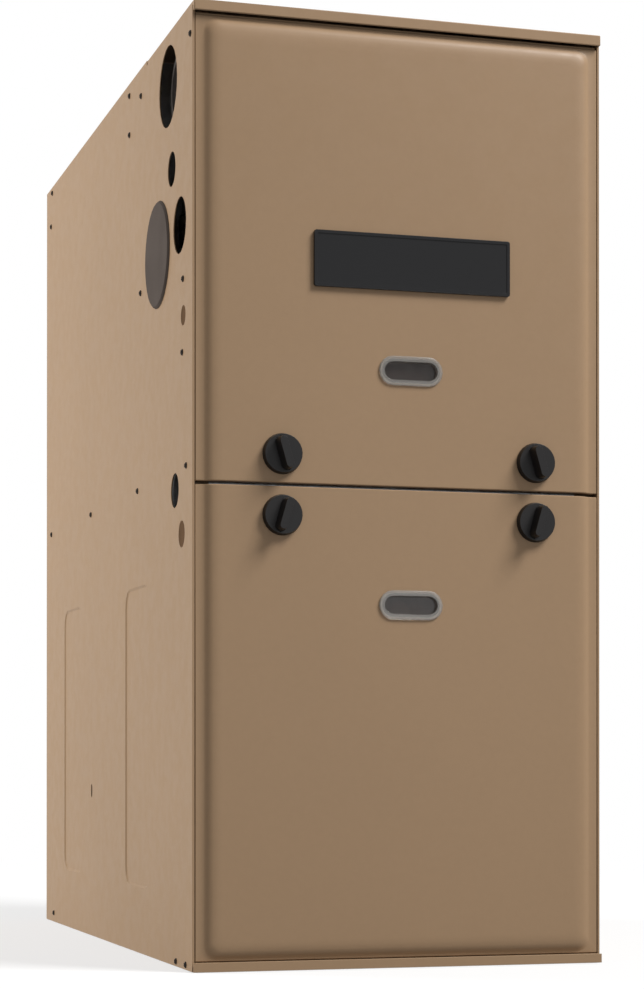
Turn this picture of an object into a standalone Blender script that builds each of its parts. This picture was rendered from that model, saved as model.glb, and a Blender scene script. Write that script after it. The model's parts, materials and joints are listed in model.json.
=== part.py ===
"""Upflow gas furnace in a two-door sheet-metal cabinet.

Metres, +Z up, doors towards -Y. The origin is the centre of the cabinet's base.
The upper half of the cabinet holds the burners, the vent blower and the heat
exchanger. The lower half holds the air blower and the controls.
"""

import math

import bmesh
import bpy
from mathutils import Matrix, Vector

# Cabinet
CASE_WIDTH = 0.378
CASE_DEPTH = 0.737
CASE_HEIGHT = 0.838
LEFT = -CASE_WIDTH / 2
RIGHT = CASE_WIDTH / 2
FRONT = -CASE_DEPTH / 2
REAR = CASE_DEPTH / 2
SHEET = 0.001
GAP = 0.0003
HEM_DEPTH = 0.0145
HEM = 2 * SHEET
JAMB_WIDTH = 0.018
JAMB_FACE = FRONT + HEM_DEPTH
RAIL_FACE = JAMB_FACE + SHEET + GAP
INSIDE = RIGHT - SHEET - GAP
TOP_UNDER = CASE_HEIGHT - SHEET
OUTLET_FLANGE = 0.019
REAR_FLANGE_DROP = 0.087
BACK_FLANGE = 0.045

# Top plate over the burner compartment
TOP_PLATE_DEPTH = 0.187
TOP_LIP_HEIGHT = 0.0095
TOP_SIDE_LIP = 0.004
TOP_SIDE_INSET = 0.0005
TOP_OVERHANG = 0.005
PANEL_FACE = FRONT + TOP_PLATE_DEPTH - 3 * SHEET
PANEL_BACK = PANEL_FACE + SHEET

# Base
BOTTOM_RAIL_HEIGHT = 0.008
BOTTOM_RAIL_PROUD = 0.005
BOTTOM_RAIL_DEPTH = 0.030
PAN_WALL = 0.025
RETURN_WIDTH = 0.290
RETURN_DEPTH = 0.420
RETURN_CENTRE_Y = 0.035
CLOSURE_RIM = 0.014
CLOSURE_FIT = 0.003

# Doors
SEAM_FROM_TOP = 0.416
SEAM_HEIGHT = CASE_HEIGHT - SEAM_FROM_TOP
SEAM_GAP = 0.003
DOOR_TOP_GAP = 0.0025
DOOR_TOP = CASE_HEIGHT - TOP_LIP_HEIGHT - DOOR_TOP_GAP
DOOR_FLANGE = 0.012
DOOR_SIDE_GAP = 0.0005
DOOR_HALF = RIGHT - HEM - DOOR_SIDE_GAP
UPPER_DOOR_LOW = SEAM_HEIGHT + SEAM_GAP / 2
LOWER_DOOR_HIGH = SEAM_HEIGHT - SEAM_GAP / 2
LOWER_DOOR_LOW = BOTTOM_RAIL_HEIGHT + 2 * GAP
FIELD_RAISE = 0.005
FIELD_BORDER = 0.010
FIELD_SLOPE = 0.016
FIELD_MARGIN = 0.0015
FIELD_CORNER = 0.011
FIELD_FACE = FRONT - FIELD_RAISE
DOOR_EDGE_ROUND = 0.0007

# Door fittings
FACE_CENTRE_X = 0.0075
KNOB_SPACING = CASE_WIDTH - 0.143
KNOB_XS = [FACE_CENTRE_X - KNOB_SPACING / 2, FACE_CENTRE_X + KNOB_SPACING / 2]
KNOB_FROM_SEAM = 0.0266
KNOB_RADIUS = 0.018
KNOB_BASE = 0.0055
KNOB_HEIGHT = 0.017
KNOB_GRIP_LENGTH = 0.031
KNOB_GRIP_WIDTH = 0.009
KNOB_TILT = 16.0
KNOB_SHAFT_RADIUS = 0.0045
KNOB_HOLE_RADIUS = 0.0055
LATCH_EAR_LENGTH = 0.0205
LATCH_EAR_WIDTH = 0.0075
LATCH_EAR_THICK = 0.003
LATCH_EAR_GAP = 0.002
WINDOW_WIDTH = 0.050
WINDOW_HEIGHT = 0.017
WINDOW_RIM = 0.0045
WINDOW_DEPTH = 0.0045
UPPER_WINDOW_HEIGHT = SEAM_HEIGHT + 0.1035
LOWER_WINDOW_HEIGHT = SEAM_HEIGHT - 0.103
BADGE_CENTRE_X = 0.009
BADGE_WIDTH = 0.1815
BADGE_HEIGHT = 0.0492
BADGE_THICK = 0.003
BADGE_CENTRE_HEIGHT = SEAM_HEIGHT + 0.1985
INSULATION_THICK = 0.007
INSULATION_FROM_SEAM = 0.078
INSULATION_INSET = 0.030

# Rails and partitions
MID_RAIL_LOW = SEAM_HEIGHT - 0.050
MID_RAIL_HIGH = SEAM_HEIGHT + 0.050
RAIL_FLANGE = 0.020
DECK_TOP = SEAM_HEIGHT + 0.0325
DECK_UNDER = DECK_TOP - SHEET
DECK_FLANGE = 0.020
DECK_FLANGE_START = 0.110
PANEL_FLANGE = 0.012

# Holes in the left side: distance from the front, height, diameter
VENT_HOLE = (0.096, CASE_HEIGHT - 0.049, 0.073)
CONDENSATE_HOLE = (0.081, CASE_HEIGHT - 0.127, 0.031)
GAS_HOLE = (0.049, CASE_HEIGHT - 0.184, 0.050)
VENT_PLUG_HOLE = (0.137, CASE_HEIGHT - 0.1925, 0.092)
WIRE_HOLE = (0.068, SEAM_HEIGHT, 0.031)
SMALL_KNOCKOUT = (0.035, SEAM_HEIGHT + 0.150, 0.018)
LARGE_KNOCKOUT = (0.041, SEAM_HEIGHT - 0.041, 0.024)
SIDE_SLOT = (0.460, 0.151, 0.006, 0.014)
KNOCKOUT_RECESS = 0.0005
PLUG_RADIUS = 0.049
PLUG_FACE = 0.002
PLUG_SKIRT = 0.009
PRESSED_PANELS = ((0.175, 0.288), (CASE_DEPTH - 0.221, CASE_DEPTH - 0.114))
PRESSED_LOW = 0.060
PRESSED_HIGH = SEAM_HEIGHT - 0.072
PRESSED_DEPTH = 0.0012
PRESSED_SLOPE = 0.004
PRESSED_CORNER = 0.020

# Burners and gas train
BURNER_COUNT = 3
BURNER_PITCH = 0.070
BURNER_XS = [(n - (BURNER_COUNT - 1) / 2) * BURNER_PITCH for n in range(BURNER_COUNT)]
BURNER_HEIGHT = CASE_HEIGHT - 0.088
BURNER_LENGTH = 0.074
BURNER_THROAT = 0.010
BURNER_HEAD = 0.0185
BURNER_WALL = 0.0016
BOX_SIDE = max(BURNER_XS) + 0.033
BOX_LOW = BURNER_HEIGHT - 0.045
BOX_HIGH = BURNER_HEIGHT + 0.045
BOX_DEPTH = 0.100
RACK_FROM_BACK = 0.045
MANIFOLD_RADIUS = 0.0105
MANIFOLD_FROM_FRONT = 0.0545
MANIFOLD_Y = FRONT + MANIFOLD_FROM_FRONT
SPUD_RADIUS = 0.005
BRACKET_THICK = 0.0015
BRACKET_HEIGHT = 0.036
BRACKET_LAP = 0.024
VALVE_CENTRE_X = RIGHT - 0.046
VALVE_WIDTH = 0.060
VALVE_DEPTH = 0.054
VALVE_HIGH = BURNER_HEIGHT - 0.048
VALVE_LOW = VALVE_HIGH - 0.074
VALVE_KNOB_RADIUS = 0.011
VALVE_KNOB_HEIGHT = 0.010

# Heat exchanger
TUBE_RADIUS = 0.021
TUBE_WALL = 0.0012
TUBE_PASS_STEP = 0.068
TUBE_REAR_Y = REAR - 0.0895
TUBE_FRONT_Y = PANEL_BACK + 0.0495
PORT_CLEARANCE = 0.0006
REAR_HEADER_Y = TUBE_REAR_Y + TUBE_RADIUS - 0.008
REAR_HEADER_DEPTH = 0.042
REAR_HEADER_SIDE = BOX_SIDE + 0.012
REAR_HEADER_RISE = 0.030
COIL_FRONT = PANEL_BACK + GAP
COIL_LOW = DECK_TOP + 0.0155
COIL_HIGH = COIL_LOW + 0.090
COIL_SIDE = RIGHT - 0.039
COIL_CORE = 0.030
FIN_COUNT = 26
FIN_THICK = 0.003
PANEL_WINDOW_SIDE = 0.110

# Vent blower and vent pipe
SWITCH_X = RIGHT - 0.099
INDUCER_X = LEFT + 0.119
INDUCER_Z = DECK_TOP + 0.1175
INDUCER_DEPTH = 0.070
INDUCER_WALL = 0.003
INDUCER_START = 0.060
INDUCER_END = 0.099
INDUCER_WHEEL = 0.052
INDUCER_WHEEL_THICK = 0.024
INDUCER_BLADES = 12
INDUCER_SHAFT = 0.004
INDUCER_DUCT = 0.054
INDUCER_DUCT_TOP = INDUCER_Z + 0.076
HEADER_DEPTH = 0.050
HEADER_LEFT = INDUCER_X - 0.085
HEADER_RIGHT = RIGHT - 0.069
HEADER_STEP_X = SWITCH_X - 0.070
HEADER_LOW = DECK_TOP + 0.0075
HEADER_STEP_Z = HEADER_LOW + 0.070
HEADER_TOP = HEADER_LOW + 0.180
HEADER_FACE = PANEL_FACE - GAP - HEADER_DEPTH
INDUCER_BACK = HEADER_FACE - GAP
INDUCER_FRONT = INDUCER_BACK - INDUCER_DEPTH
VENT_BORE = 0.0285
VENT_WALL = 0.005
VENT_OUTER = VENT_BORE + VENT_WALL
VENT_SIDES = 18
VENT_BEND = 0.0365
VENT_SET_BACK = 0.009
VENT_STUB = 0.016
VENT_X = INDUCER_X - INDUCER_END + INDUCER_DUCT / 2
VENT_Y = FRONT + VENT_HOLE[0]
STUB_RADIUS = VENT_BORE * math.cos(math.pi / VENT_SIDES) - GAP
INDUCER_MOTOR_RADIUS = 0.036
MOTOR_FOOT = 0.006
MOTOR_FROM_RAIL = 0.0033
INDUCER_MOTOR_LENGTH = INDUCER_FRONT - GAP - MOTOR_FOOT - MOTOR_FROM_RAIL - RAIL_FACE

# Small controls on the vestibule panel
SWITCH_Z = DECK_TOP + 0.1455
SWITCH_RADIUS = 0.029
SWITCH_THICK = 0.030
HOSE_RADIUS = 0.004
LIMIT_X = RIGHT - 0.039
LIMIT_Z = DECK_TOP + 0.1305
ROLLOUT_X = 0.050
ROLLOUT_RADIUS = 0.009
RESET_RADIUS = 0.003
RESET_TRAVEL = 0.0015
IGNITER_X = -BURNER_PITCH / 2
SENSOR_X = BURNER_PITCH / 2
PROBE_RADIUS = 0.0055
PROBE_FROM_RACK = 0.022
TRAP_WIDTH = 0.040
TRAP_HEIGHT = 0.074

# Air blower
BLOWER_Y = 0.045
BLOWER_Z = 0.205
WHEEL_RADIUS = 0.127
WHEEL_INNER = 0.101
WHEEL_WIDTH = 0.203
WHEEL_BLADES = 26
BLADE_THICK = 0.0012
WHEEL_HUB = 0.016
WHEEL_CLEARANCE = 0.013
SCROLL_GROWTH = 0.050
SCROLL_STEPS = 20
HOUSING_WIDTH = 0.236
HOUSING_SHEET = 0.0012
INLET_RADIUS = 0.108
INLET_CURL = 0.008
BLOWER_SHAFT = 0.00635
SLIDE_FLANGE = 0.022
MOTOR_RADIUS = 0.068
MOTOR_LEFT = -0.158
MOTOR_RIGHT = -0.030
MOTOR_ARM_RADIUS = 0.004
BAND_WIDTH = 0.020
BAND_THICK = 0.003

# Controls in the blower compartment
CONTROL_FROM_FRONT = 0.078
CONTROL_LEFT = LEFT + 0.074
CONTROL_RIGHT = RIGHT - 0.021
CONTROL_LOW = DECK_UNDER - 0.2055
BOARD_WIDTH = 0.150
BOARD_HEIGHT = 0.112
BOARD_CENTRE_X = 0.012
BOARD_CENTRE_Z = DECK_UNDER - 0.1315
BOARD_THICK = 0.0016
STANDOFF = 0.006
JUNCTION_DEPTH = 0.060
JUNCTION_WIDTH = 0.062
JUNCTION_HEIGHT = 0.046
DOOR_SWITCH_X = 0.060
DOOR_SWITCH_WIDTH = 0.028
DOOR_SWITCH_HEIGHT = 0.018
DOOR_SWITCH_BACK = 0.052
PLUNGER_RADIUS = 0.0035

COLLECTION = "gas_furnace"
FRAMES = {
    "top": Matrix.Identity(3),
    "front": Matrix(((1, 0, 0), (0, 0, -1), (0, 1, 0))),
    "side": Matrix(((0, 0, 1), (1, 0, 0), (0, 1, 0))),
}
NORMAL = {"top": "Z", "front": "Y", "side": "X"}

PAINTS = {
    "cabinet_paint": ((0.33, 0.22, 0.14), 0.38, 0.0),
    "galvanised": ((0.55, 0.56, 0.57), 0.42, 1.0),
    "aluminised": ((0.46, 0.46, 0.45), 0.35, 1.0),
    "black_plastic": ((0.012, 0.011, 0.010), 0.45, 0.0),
    "grey_plastic": ((0.10, 0.10, 0.10), 0.50, 0.0),
    "vent_grey": ((0.17, 0.17, 0.17), 0.45, 0.0),
    "badge_black": ((0.015, 0.015, 0.017), 0.35, 0.0),
    "clear_plastic": ((0.55, 0.55, 0.52), 0.12, 0.0),
    "insulation": ((0.62, 0.62, 0.60), 0.40, 0.6),
    "stainless": ((0.58, 0.58, 0.57), 0.28, 1.0),
    "cast_grey": ((0.30, 0.31, 0.32), 0.50, 0.8),
    "black_steel": ((0.03, 0.03, 0.03), 0.45, 0.6),
    "ceramic": ((0.80, 0.78, 0.72), 0.60, 0.0),
    "board_green": ((0.02, 0.16, 0.06), 0.40, 0.0),
    "rubber": ((0.02, 0.02, 0.02), 0.70, 0.0),
    "red_plastic": ((0.50, 0.03, 0.02), 0.40, 0.0),
    "white_plastic": ((0.75, 0.75, 0.72), 0.45, 0.0),
}


def clear_scene():
    for item in list(bpy.data.objects):
        bpy.data.objects.remove(item)


def collection_named(name):
    made = bpy.data.collections.get(name)
    if made is None:
        made = bpy.data.collections.new(name)
        bpy.context.scene.collection.children.link(made)
    return made


def paint(name):
    made = bpy.data.materials.get(name)
    if made is None:
        colour, roughness, metallic = PAINTS[name]
        made = bpy.data.materials.new(name)
        made.use_nodes = True
        shader = made.node_tree.nodes["Principled BSDF"]
        shader.inputs["Base Color"].default_value = (*colour, 1)
        shader.inputs["Roughness"].default_value = roughness
        shader.inputs["Metallic"].default_value = metallic
    return made


# Outlines in a face's own two directions


def rectangle(u0, v0, u1, v1):
    return [(u0, v0), (u1, v0), (u1, v1), (u0, v1)]


def arc(u, v, radius, start, end, steps):
    """Points on a circle from one angle to another, in degrees."""
    turns = [math.radians(start + (end - start) * n / steps) for n in range(steps + 1)]
    return [(u + radius * math.cos(t), v + radius * math.sin(t)) for t in turns]


def circle(u, v, radius, steps=24):
    return arc(u, v, radius, 0, 360, steps)[:-1]


def rounded(u0, v0, u1, v1, low, high, steps=4):
    """A rectangle whose two lower and two upper corners have their own radius."""
    points = []
    for u, v, radius, start in (
        (u1 - low, v0 + low, low, 270),
        (u1 - high, v1 - high, high, 0),
        (u0 + high, v1 - high, high, 90),
        (u0 + low, v0 + low, low, 180),
    ):
        points += arc(u, v, radius, start, start + 90, steps) if radius else [(u, v)]
    return points


def obround(u, v, length, width, steps=8):
    reach = (length - width) / 2
    right = arc(u + reach, v, width / 2, -90, 90, steps)
    return right + arc(u - reach, v, width / 2, 90, 270, steps)


def folded(points, thickness):
    """The outline of a strip of sheet bent along the points, with the metal on their left."""
    offset = []
    for n, point in enumerate(points):
        here = Vector(point)
        before = (here - Vector(points[n - 1])).normalized() if n else None
        after = (Vector(points[n + 1]) - here).normalized() if n + 1 < len(points) else None
        before = before or after
        after = after or before
        middle = (before + after).normalized()
        reach = thickness / max(middle.dot(before), 0.2)
        offset.append((here.x - middle.y * reach, here.y + middle.x * reach))
    return list(points) + offset[::-1]


def rounded_path(corners, radius, steps=6):
    """A path of points in space through the corners, each turned on an arc."""
    path = [Vector(corners[0])]
    for before, corner, after in zip(corners, corners[1:], corners[2:]):
        corner = Vector(corner)
        back = (Vector(before) - corner).normalized()
        ahead = (Vector(after) - corner).normalized()
        half = back.angle(ahead) / 2
        middle = corner + (back + ahead).normalized() * radius / math.sin(half)
        start = corner + back * radius / math.tan(half) - middle
        end = corner + ahead * radius / math.tan(half) - middle
        for n in range(steps + 1):
            swing = start.angle(end) * n / steps
            side = (end - start * start.dot(end) / start.length_squared).normalized() * radius
            path.append(middle + start * math.cos(swing) + side * math.sin(swing))
    path.append(Vector(corners[-1]))
    return path


# Solids


def placed(name, mesh, centre, face="top"):
    made = bpy.data.objects.new(name, mesh)
    made.matrix_world = Matrix.Translation(centre) @ FRAMES[face].to_4x4()
    collection_named(COLLECTION).objects.link(made)
    return made


def mesh_from(name, form):
    mesh = bpy.data.meshes.new(name)
    bmesh.ops.recalc_face_normals(form, faces=form.faces)
    form.to_mesh(mesh)
    form.free()
    return mesh


def box(name, low, high):
    form = bmesh.new()
    bmesh.ops.create_cube(form, size=1)
    size = [b - a for a, b in zip(low, high)]
    bmesh.ops.scale(form, vec=size, verts=form.verts)
    return placed(name, mesh_from(name, form), [(a + b) / 2 for a, b in zip(low, high)])


def rod(name, centre, radius, length, face, sides=24, far_radius=None):
    """A round bar about the face's normal. far_radius makes its outward end wider or narrower."""
    form = bmesh.new()
    far_radius = radius if far_radius is None else far_radius
    bmesh.ops.create_cone(
        form, cap_ends=True, segments=sides, radius1=radius, radius2=far_radius, depth=length
    )
    made = placed(name, mesh_from(name, form), centre, face)
    shade_round(made)
    return made


def shade_round(piece):
    piece.data.shade_smooth()
    piece.data.set_sharp_from_angle(angle=math.radians(35))


def solid_from_curve(name, curve, centre, face="top"):
    """The curve as a closed mesh, so that it can be cut and joined."""
    guide = placed(name + "_guide", curve, centre, face)
    bpy.context.view_layer.update()
    graph = bpy.context.evaluated_depsgraph_get()
    form = bmesh.new()
    form.from_mesh(bpy.data.meshes.new_from_object(guide.evaluated_get(graph)))
    bmesh.ops.remove_doubles(form, verts=form.verts, dist=0.000001)
    bpy.data.objects.remove(guide)
    return placed(name, mesh_from(name, form), centre, face)


def plate(name, loops, face, start, end):
    """A flat outline, with the later loops as holes, filled from start to end along the normal."""
    low = [min(p[n] for p in loops[0]) for n in (0, 1)]
    high = [max(p[n] for p in loops[0]) for n in (0, 1)]
    middle = [(a + b) / 2 for a, b in zip(low, high)]
    curve = bpy.data.curves.new(name, "CURVE")
    curve.dimensions = "2D"
    curve.fill_mode = "BOTH"
    curve.extrude = abs(end - start) / 2
    for loop in loops:
        spline = curve.splines.new("POLY")
        spline.points.add(len(loop) - 1)
        for point, (u, v) in zip(spline.points, loop):
            point.co = (u - middle[0], v - middle[1], 0, 1)
        spline.use_cyclic_u = True
    centre = list(middle)
    centre.insert("XYZ".index(NORMAL[face]), (start + end) / 2)
    return solid_from_curve(name, curve, centre, face)


def tube(name, path, radius, sides=12):
    curve = bpy.data.curves.new(name, "CURVE")
    curve.dimensions = "3D"
    curve.bevel_depth = radius
    curve.bevel_resolution = (sides - 4) // 2
    curve.use_fill_caps = True
    spline = curve.splines.new("POLY")
    spline.points.add(len(path) - 1)
    for point, place in zip(spline.points, path):
        point.co = (*(Vector(place) - Vector(path[0])), 1)
    made = solid_from_curve(name, curve, path[0])
    shade_round(made)
    return made


def tapered(name, outlines, face, base, centre):
    """A block through outlines with as many points each, every one at its own rise from the base."""
    form = bmesh.new()
    rings = []
    for outline, rise in outlines:
        rings.append([form.verts.new((u - centre[0], v - centre[1], rise)) for u, v in outline])
    form.faces.new(rings[0])
    form.faces.new(rings[-1])
    for lower, upper in zip(rings, rings[1:]):
        for n in range(len(lower)):
            after = (n + 1) % len(lower)
            side = form.faces.new((lower[n], lower[after], upper[after], upper[n]))
            side.smooth = True
    place = list(centre)
    place.insert("XYZ".index(NORMAL[face]), base)
    made = placed(name, mesh_from(name, form), place, face)
    made.data.set_sharp_from_angle(angle=math.radians(35))
    return made


def turned(name, profile, centre, face, steps=24):
    """A profile of (radius, height) turned about the face's normal. It runs top to bottom outside."""
    mesh = bpy.data.meshes.new(name)
    closed = profile[0][0] > 0
    edges = [(n, n + 1) for n in range(len(profile) - 1)]
    if closed:
        edges.append((len(profile) - 1, 0))
    mesh.from_pydata([(radius, 0, height) for radius, height in profile], edges, [])
    made = placed(name, mesh, centre, face)
    screw = made.modifiers.new("turn", "SCREW")
    screw.axis = "Z"
    screw.steps = steps
    screw.render_steps = steps
    screw.use_merge_vertices = True
    screw.merge_threshold = 0.00001
    screw.use_normal_calculate = True
    return made


def as_tool(piece):
    piece.hide_render = True
    piece.display_type = "WIRE"
    for home in list(piece.users_collection):
        home.objects.unlink(piece)
    collection_named("cutters").objects.link(piece)
    return piece


def combine(piece, tool, operation):
    step = piece.modifiers.new(tool.name, "BOOLEAN")
    step.operation = operation
    step.solver = "EXACT"
    step.object = as_tool(tool)
    return piece


def cut(piece, *tools):
    for tool in tools:
        combine(piece, tool, "DIFFERENCE")
    return piece


def fuse(piece, *tools):
    for tool in tools:
        combine(piece, tool, "UNION")
    return piece


def soften(piece, width, segments=1):
    """Rounds or chamfers the sharp edges that the piece has so far."""
    bevel = piece.modifiers.new("edges", "BEVEL")
    bevel.width = width
    bevel.segments = segments
    bevel.limit_method = "ANGLE"
    bevel.angle_limit = math.radians(60)
    return piece


def group(name, pieces):
    """One mesh from several plain ones that don't touch, for use as a single tool."""
    form = bmesh.new()
    for piece in pieces:
        part = piece.data.copy()
        part.transform(piece.matrix_world)
        form.from_mesh(part)
        bpy.data.meshes.remove(part)
        bpy.data.objects.remove(piece)
    return placed(name, mesh_from(name, form), (0, 0, 0))


def turn_about(piece, pivot, axis, degrees):
    """Turns a piece, or a tool that shapes it, about an axis through the pivot."""
    there = Matrix.Translation(pivot)
    swing = Matrix.Rotation(math.radians(degrees), 4, axis)
    piece.matrix_world = there @ swing @ there.inverted() @ piece.matrix_world
    return piece


def finish(piece, name):
    piece.data.materials.clear()
    piece.data.materials.append(paint(name))
    return piece


def carry(parent, *children):
    """The children move with the parent."""
    for child in children:
        child.parent = parent
        child.matrix_parent_inverse = parent.matrix_world.inverted()


# Cabinet


def side_hole(hole, side, reach=0.01, steps=24, radius=None):
    """A cutter or plug core for one of the round holes, on the left or right side."""
    from_front, height, diameter = hole
    centre = (side * RIGHT, FRONT + from_front, height)
    return rod("hole", centre, radius or diameter / 2, 2 * reach, "side", steps)


def pressed_outline(start, end, inset):
    """The outline of one of the pressed panels, drawn in by the inset."""
    corner = PRESSED_CORNER - inset
    low = PRESSED_LOW + inset
    high = PRESSED_HIGH - inset
    return rounded(FRONT + start + inset, low, FRONT + end - inset, high, corner, corner, 3)


def side_panel(side, name):
    outer = side * RIGHT
    inward = -side
    section = [
        (outer, FRONT),
        (outer, REAR),
        (outer + inward * SHEET, REAR),
        (outer + inward * SHEET, JAMB_FACE + SHEET),
        (outer + inward * JAMB_WIDTH, JAMB_FACE + SHEET),
        (outer + inward * JAMB_WIDTH, JAMB_FACE),
        (outer + inward * HEM, JAMB_FACE),
        (outer + inward * HEM, FRONT),
    ]
    panel = plate(name, [section], "top", 0, CASE_HEIGHT)
    flange_low = (min(outer, outer + inward * OUTLET_FLANGE), PANEL_BACK + 2 * SHEET + GAP, TOP_UNDER)
    flange_high = (max(outer, outer + inward * OUTLET_FLANGE), REAR, CASE_HEIGHT)
    fuse(panel, box("outlet_flange", flange_low, flange_high))
    edge = CASE_HEIGHT - TOP_SIDE_LIP - GAP
    notch_low = (min(outer * 1.1, outer * 0.8), FRONT - 0.01, edge)
    notch_high = (max(outer * 1.1, outer * 0.8), FRONT + TOP_PLATE_DEPTH + GAP, CASE_HEIGHT + 0.01)
    cut(panel, box("top_plate_notch", notch_low, notch_high))
    for start, end in PRESSED_PANELS:
        middle = (FRONT + (start + end) / 2, (PRESSED_LOW + PRESSED_HIGH) / 2)
        for shift, operation in ((0, "UNION"), (SHEET * 0.4, "DIFFERENCE")):
            base = outer + (inward * SHEET * 0.8 if operation == "UNION" else -inward * SHEET)
            rise = SHEET * 0.2 + PRESSED_DEPTH if operation == "UNION" else SHEET + PRESSED_DEPTH
            rings = [
                (pressed_outline(start, end, shift), 0),
                (pressed_outline(start, end, shift + PRESSED_SLOPE), inward * rise),
            ]
            combine(panel, tapered("pressed_" + operation, rings, "side", base, middle), operation)
    return panel


def left_side_panel():
    panel = side_panel(-1, "left_side_panel")
    open_holes = [VENT_HOLE, CONDENSATE_HOLE, GAS_HOLE, VENT_PLUG_HOLE, WIRE_HOLE]
    cut(panel, group("left_holes", [side_hole(hole, -1) for hole in open_holes]))
    from_front, height, width, length = SIDE_SLOT
    slot = [(v, u) for u, v in obround(height, FRONT + from_front, length, width, 4)]
    cut(panel, plate("side_slot", [slot], "side", LEFT - 0.005, LEFT + 0.005))
    cut(panel, group("left_knockouts", knockouts(-1, [SMALL_KNOCKOUT, LARGE_KNOCKOUT])))
    return finish(panel, "cabinet_paint")


def knockouts(side, holes):
    return [side_hole(hole, side, KNOCKOUT_RECESS, 20) for hole in holes]


def right_side_panel():
    panel = side_panel(1, "right_side_panel")
    stamped = [VENT_HOLE, CONDENSATE_HOLE, GAS_HOLE, WIRE_HOLE, SMALL_KNOCKOUT, LARGE_KNOCKOUT]
    cut(panel, group("right_knockouts", knockouts(1, stamped)))
    cut(panel, side_hole(VENT_PLUG_HOLE, 1))
    return finish(panel, "cabinet_paint")


def vent_plug(side, name):
    """A snap-in plug: a thin face over the hole and a skirt inside it."""
    from_front, height, diameter = VENT_PLUG_HOLE
    y = FRONT + from_front
    face = side * (RIGHT + GAP)
    middle = (face + side * PLUG_FACE / 2, y, height)
    plug = rod(name, middle, PLUG_RADIUS, PLUG_FACE, "side", 32, PLUG_RADIUS - 0.002)
    if side < 0:
        turn_about(plug, middle, "Z", 180)
    skirt = diameter / 2 - 2 * GAP
    loops = [circle(y, height, skirt, 32), circle(y, height, skirt - 0.0015, 32)]
    fuse(plug, plate("skirt", loops, "side", face + side * PLUG_FACE / 2, face - side * PLUG_SKIRT))
    return finish(plug, "grey_plastic")


def back_panel():
    section = folded(
        [
            (INSIDE, REAR - BACK_FLANGE),
            (INSIDE, REAR),
            (-INSIDE, REAR),
            (-INSIDE, REAR - BACK_FLANGE),
        ],
        SHEET,
    )
    panel = plate("back_panel", [section], "top", 0, TOP_UNDER - GAP)
    half = RIGHT - OUTLET_FLANGE - GAP
    back = REAR - SHEET
    path = [(REAR - OUTLET_FLANGE, TOP_UNDER), (back, TOP_UNDER), (back, TOP_UNDER - REAR_FLANGE_DROP)]
    fuse(panel, plate("rear_flange", [folded(path, -SHEET)], "side", -half, half))
    for low, high in ((-0.01, PAN_WALL + GAP), (DECK_UNDER - DECK_FLANGE - GAP, DECK_TOP + GAP)):
        near = REAR - BACK_FLANGE - 0.01
        cut(panel, box("flange_notch", (-CASE_WIDTH, near, low), (CASE_WIDTH, REAR - SHEET - GAP / 3, high)))
    return finish(panel, "cabinet_paint")


def top_front_plate():
    """The cover over the burner compartment: a tray with a deep front lip and shallow side lips."""
    side = RIGHT - TOP_SIDE_INSET
    inner = side - SHEET
    front = FRONT - TOP_OVERHANG
    rear = FRONT + TOP_PLATE_DEPTH
    low = CASE_HEIGHT - TOP_LIP_HEIGHT
    cover = box("top_front_plate", (-side, front, low), (side, rear, CASE_HEIGHT))
    soften(cover, DOOR_EDGE_ROUND)
    hollow = box("under_top", (-inner, front + SHEET, low - 0.01), (inner, rear + 0.01, TOP_UNDER))
    lips = CASE_HEIGHT - TOP_SIDE_LIP
    behind = box("under_lips", (-side - 0.01, FRONT - GAP, low - 0.01), (side + 0.01, rear + 0.01, lips))
    cut(cover, hollow, behind)
    return finish(cover, "cabinet_paint")


def bottom_rail():
    half = RIGHT - HEM - GAP
    face = FRONT - BOTTOM_RAIL_PROUD
    path = [
        (FRONT + 0.011, BOTTOM_RAIL_HEIGHT - SHEET),
        (face + SHEET, BOTTOM_RAIL_HEIGHT - SHEET),
        (face + SHEET, SHEET),
        (FRONT + BOTTOM_RAIL_DEPTH, SHEET),
    ]
    rail = plate("bottom_rail", [folded(path, -SHEET)], "side", -half, half)
    nose = box("rail_nose", (LEFT, face, 0), (RIGHT, face + SHEET, BOTTOM_RAIL_HEIGHT))
    fuse(rail, nose)
    for side in (-1, 1):
        ends = sorted((side * (RIGHT - JAMB_WIDTH - GAP), side * (RIGHT + 0.01)))
        cut(rail, box("jamb_notch", (ends[0], JAMB_FACE - GAP, -0.01), (ends[1], FRONT + 0.04, 0.02)))
    return finish(rail, "cabinet_paint")


def base_pan():
    front = FRONT + BOTTOM_RAIL_DEPTH + GAP
    rear = REAR - SHEET - GAP
    pan = box("base_pan", (-INSIDE, front, 0), (INSIDE, rear, PAN_WALL))
    high = PAN_WALL + 0.01
    hollow = box("pan_inside", (-INSIDE + SHEET, front - 0.01, SHEET), (INSIDE - SHEET, rear - SHEET, high))
    near = RETURN_CENTRE_Y - RETURN_DEPTH / 2
    far = RETURN_CENTRE_Y + RETURN_DEPTH / 2
    opening = box("return_opening", (-RETURN_WIDTH / 2, near, -0.01), (RETURN_WIDTH / 2, far, 0.01))
    cut(pan, hollow, opening)
    return finish(pan, "galvanised")


def bottom_closure():
    """A dished sheet that fills the return-air opening until a duct is fitted there."""
    near = RETURN_CENTRE_Y - RETURN_DEPTH / 2
    far = RETURN_CENTRE_Y + RETURN_DEPTH / 2
    half = RETURN_WIDTH / 2
    rim = (half + CLOSURE_RIM, near - CLOSURE_RIM, far + CLOSURE_RIM)
    seat = SHEET + GAP
    panel = box("bottom_closure_panel", (-rim[0], rim[1], seat), (rim[0], rim[2], seat + SHEET))
    inset = CLOSURE_FIT
    dish = box("dish", (-half + inset, near + inset, 0), (half - inset, far - inset, seat + SHEET / 2))
    inset = CLOSURE_FIT + SHEET
    pocket = box("dish_pocket", (-half + inset, near + inset, SHEET), (half - inset, far - inset, 0.01))
    return finish(cut(fuse(panel, dish), pocket), "galvanised")


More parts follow.
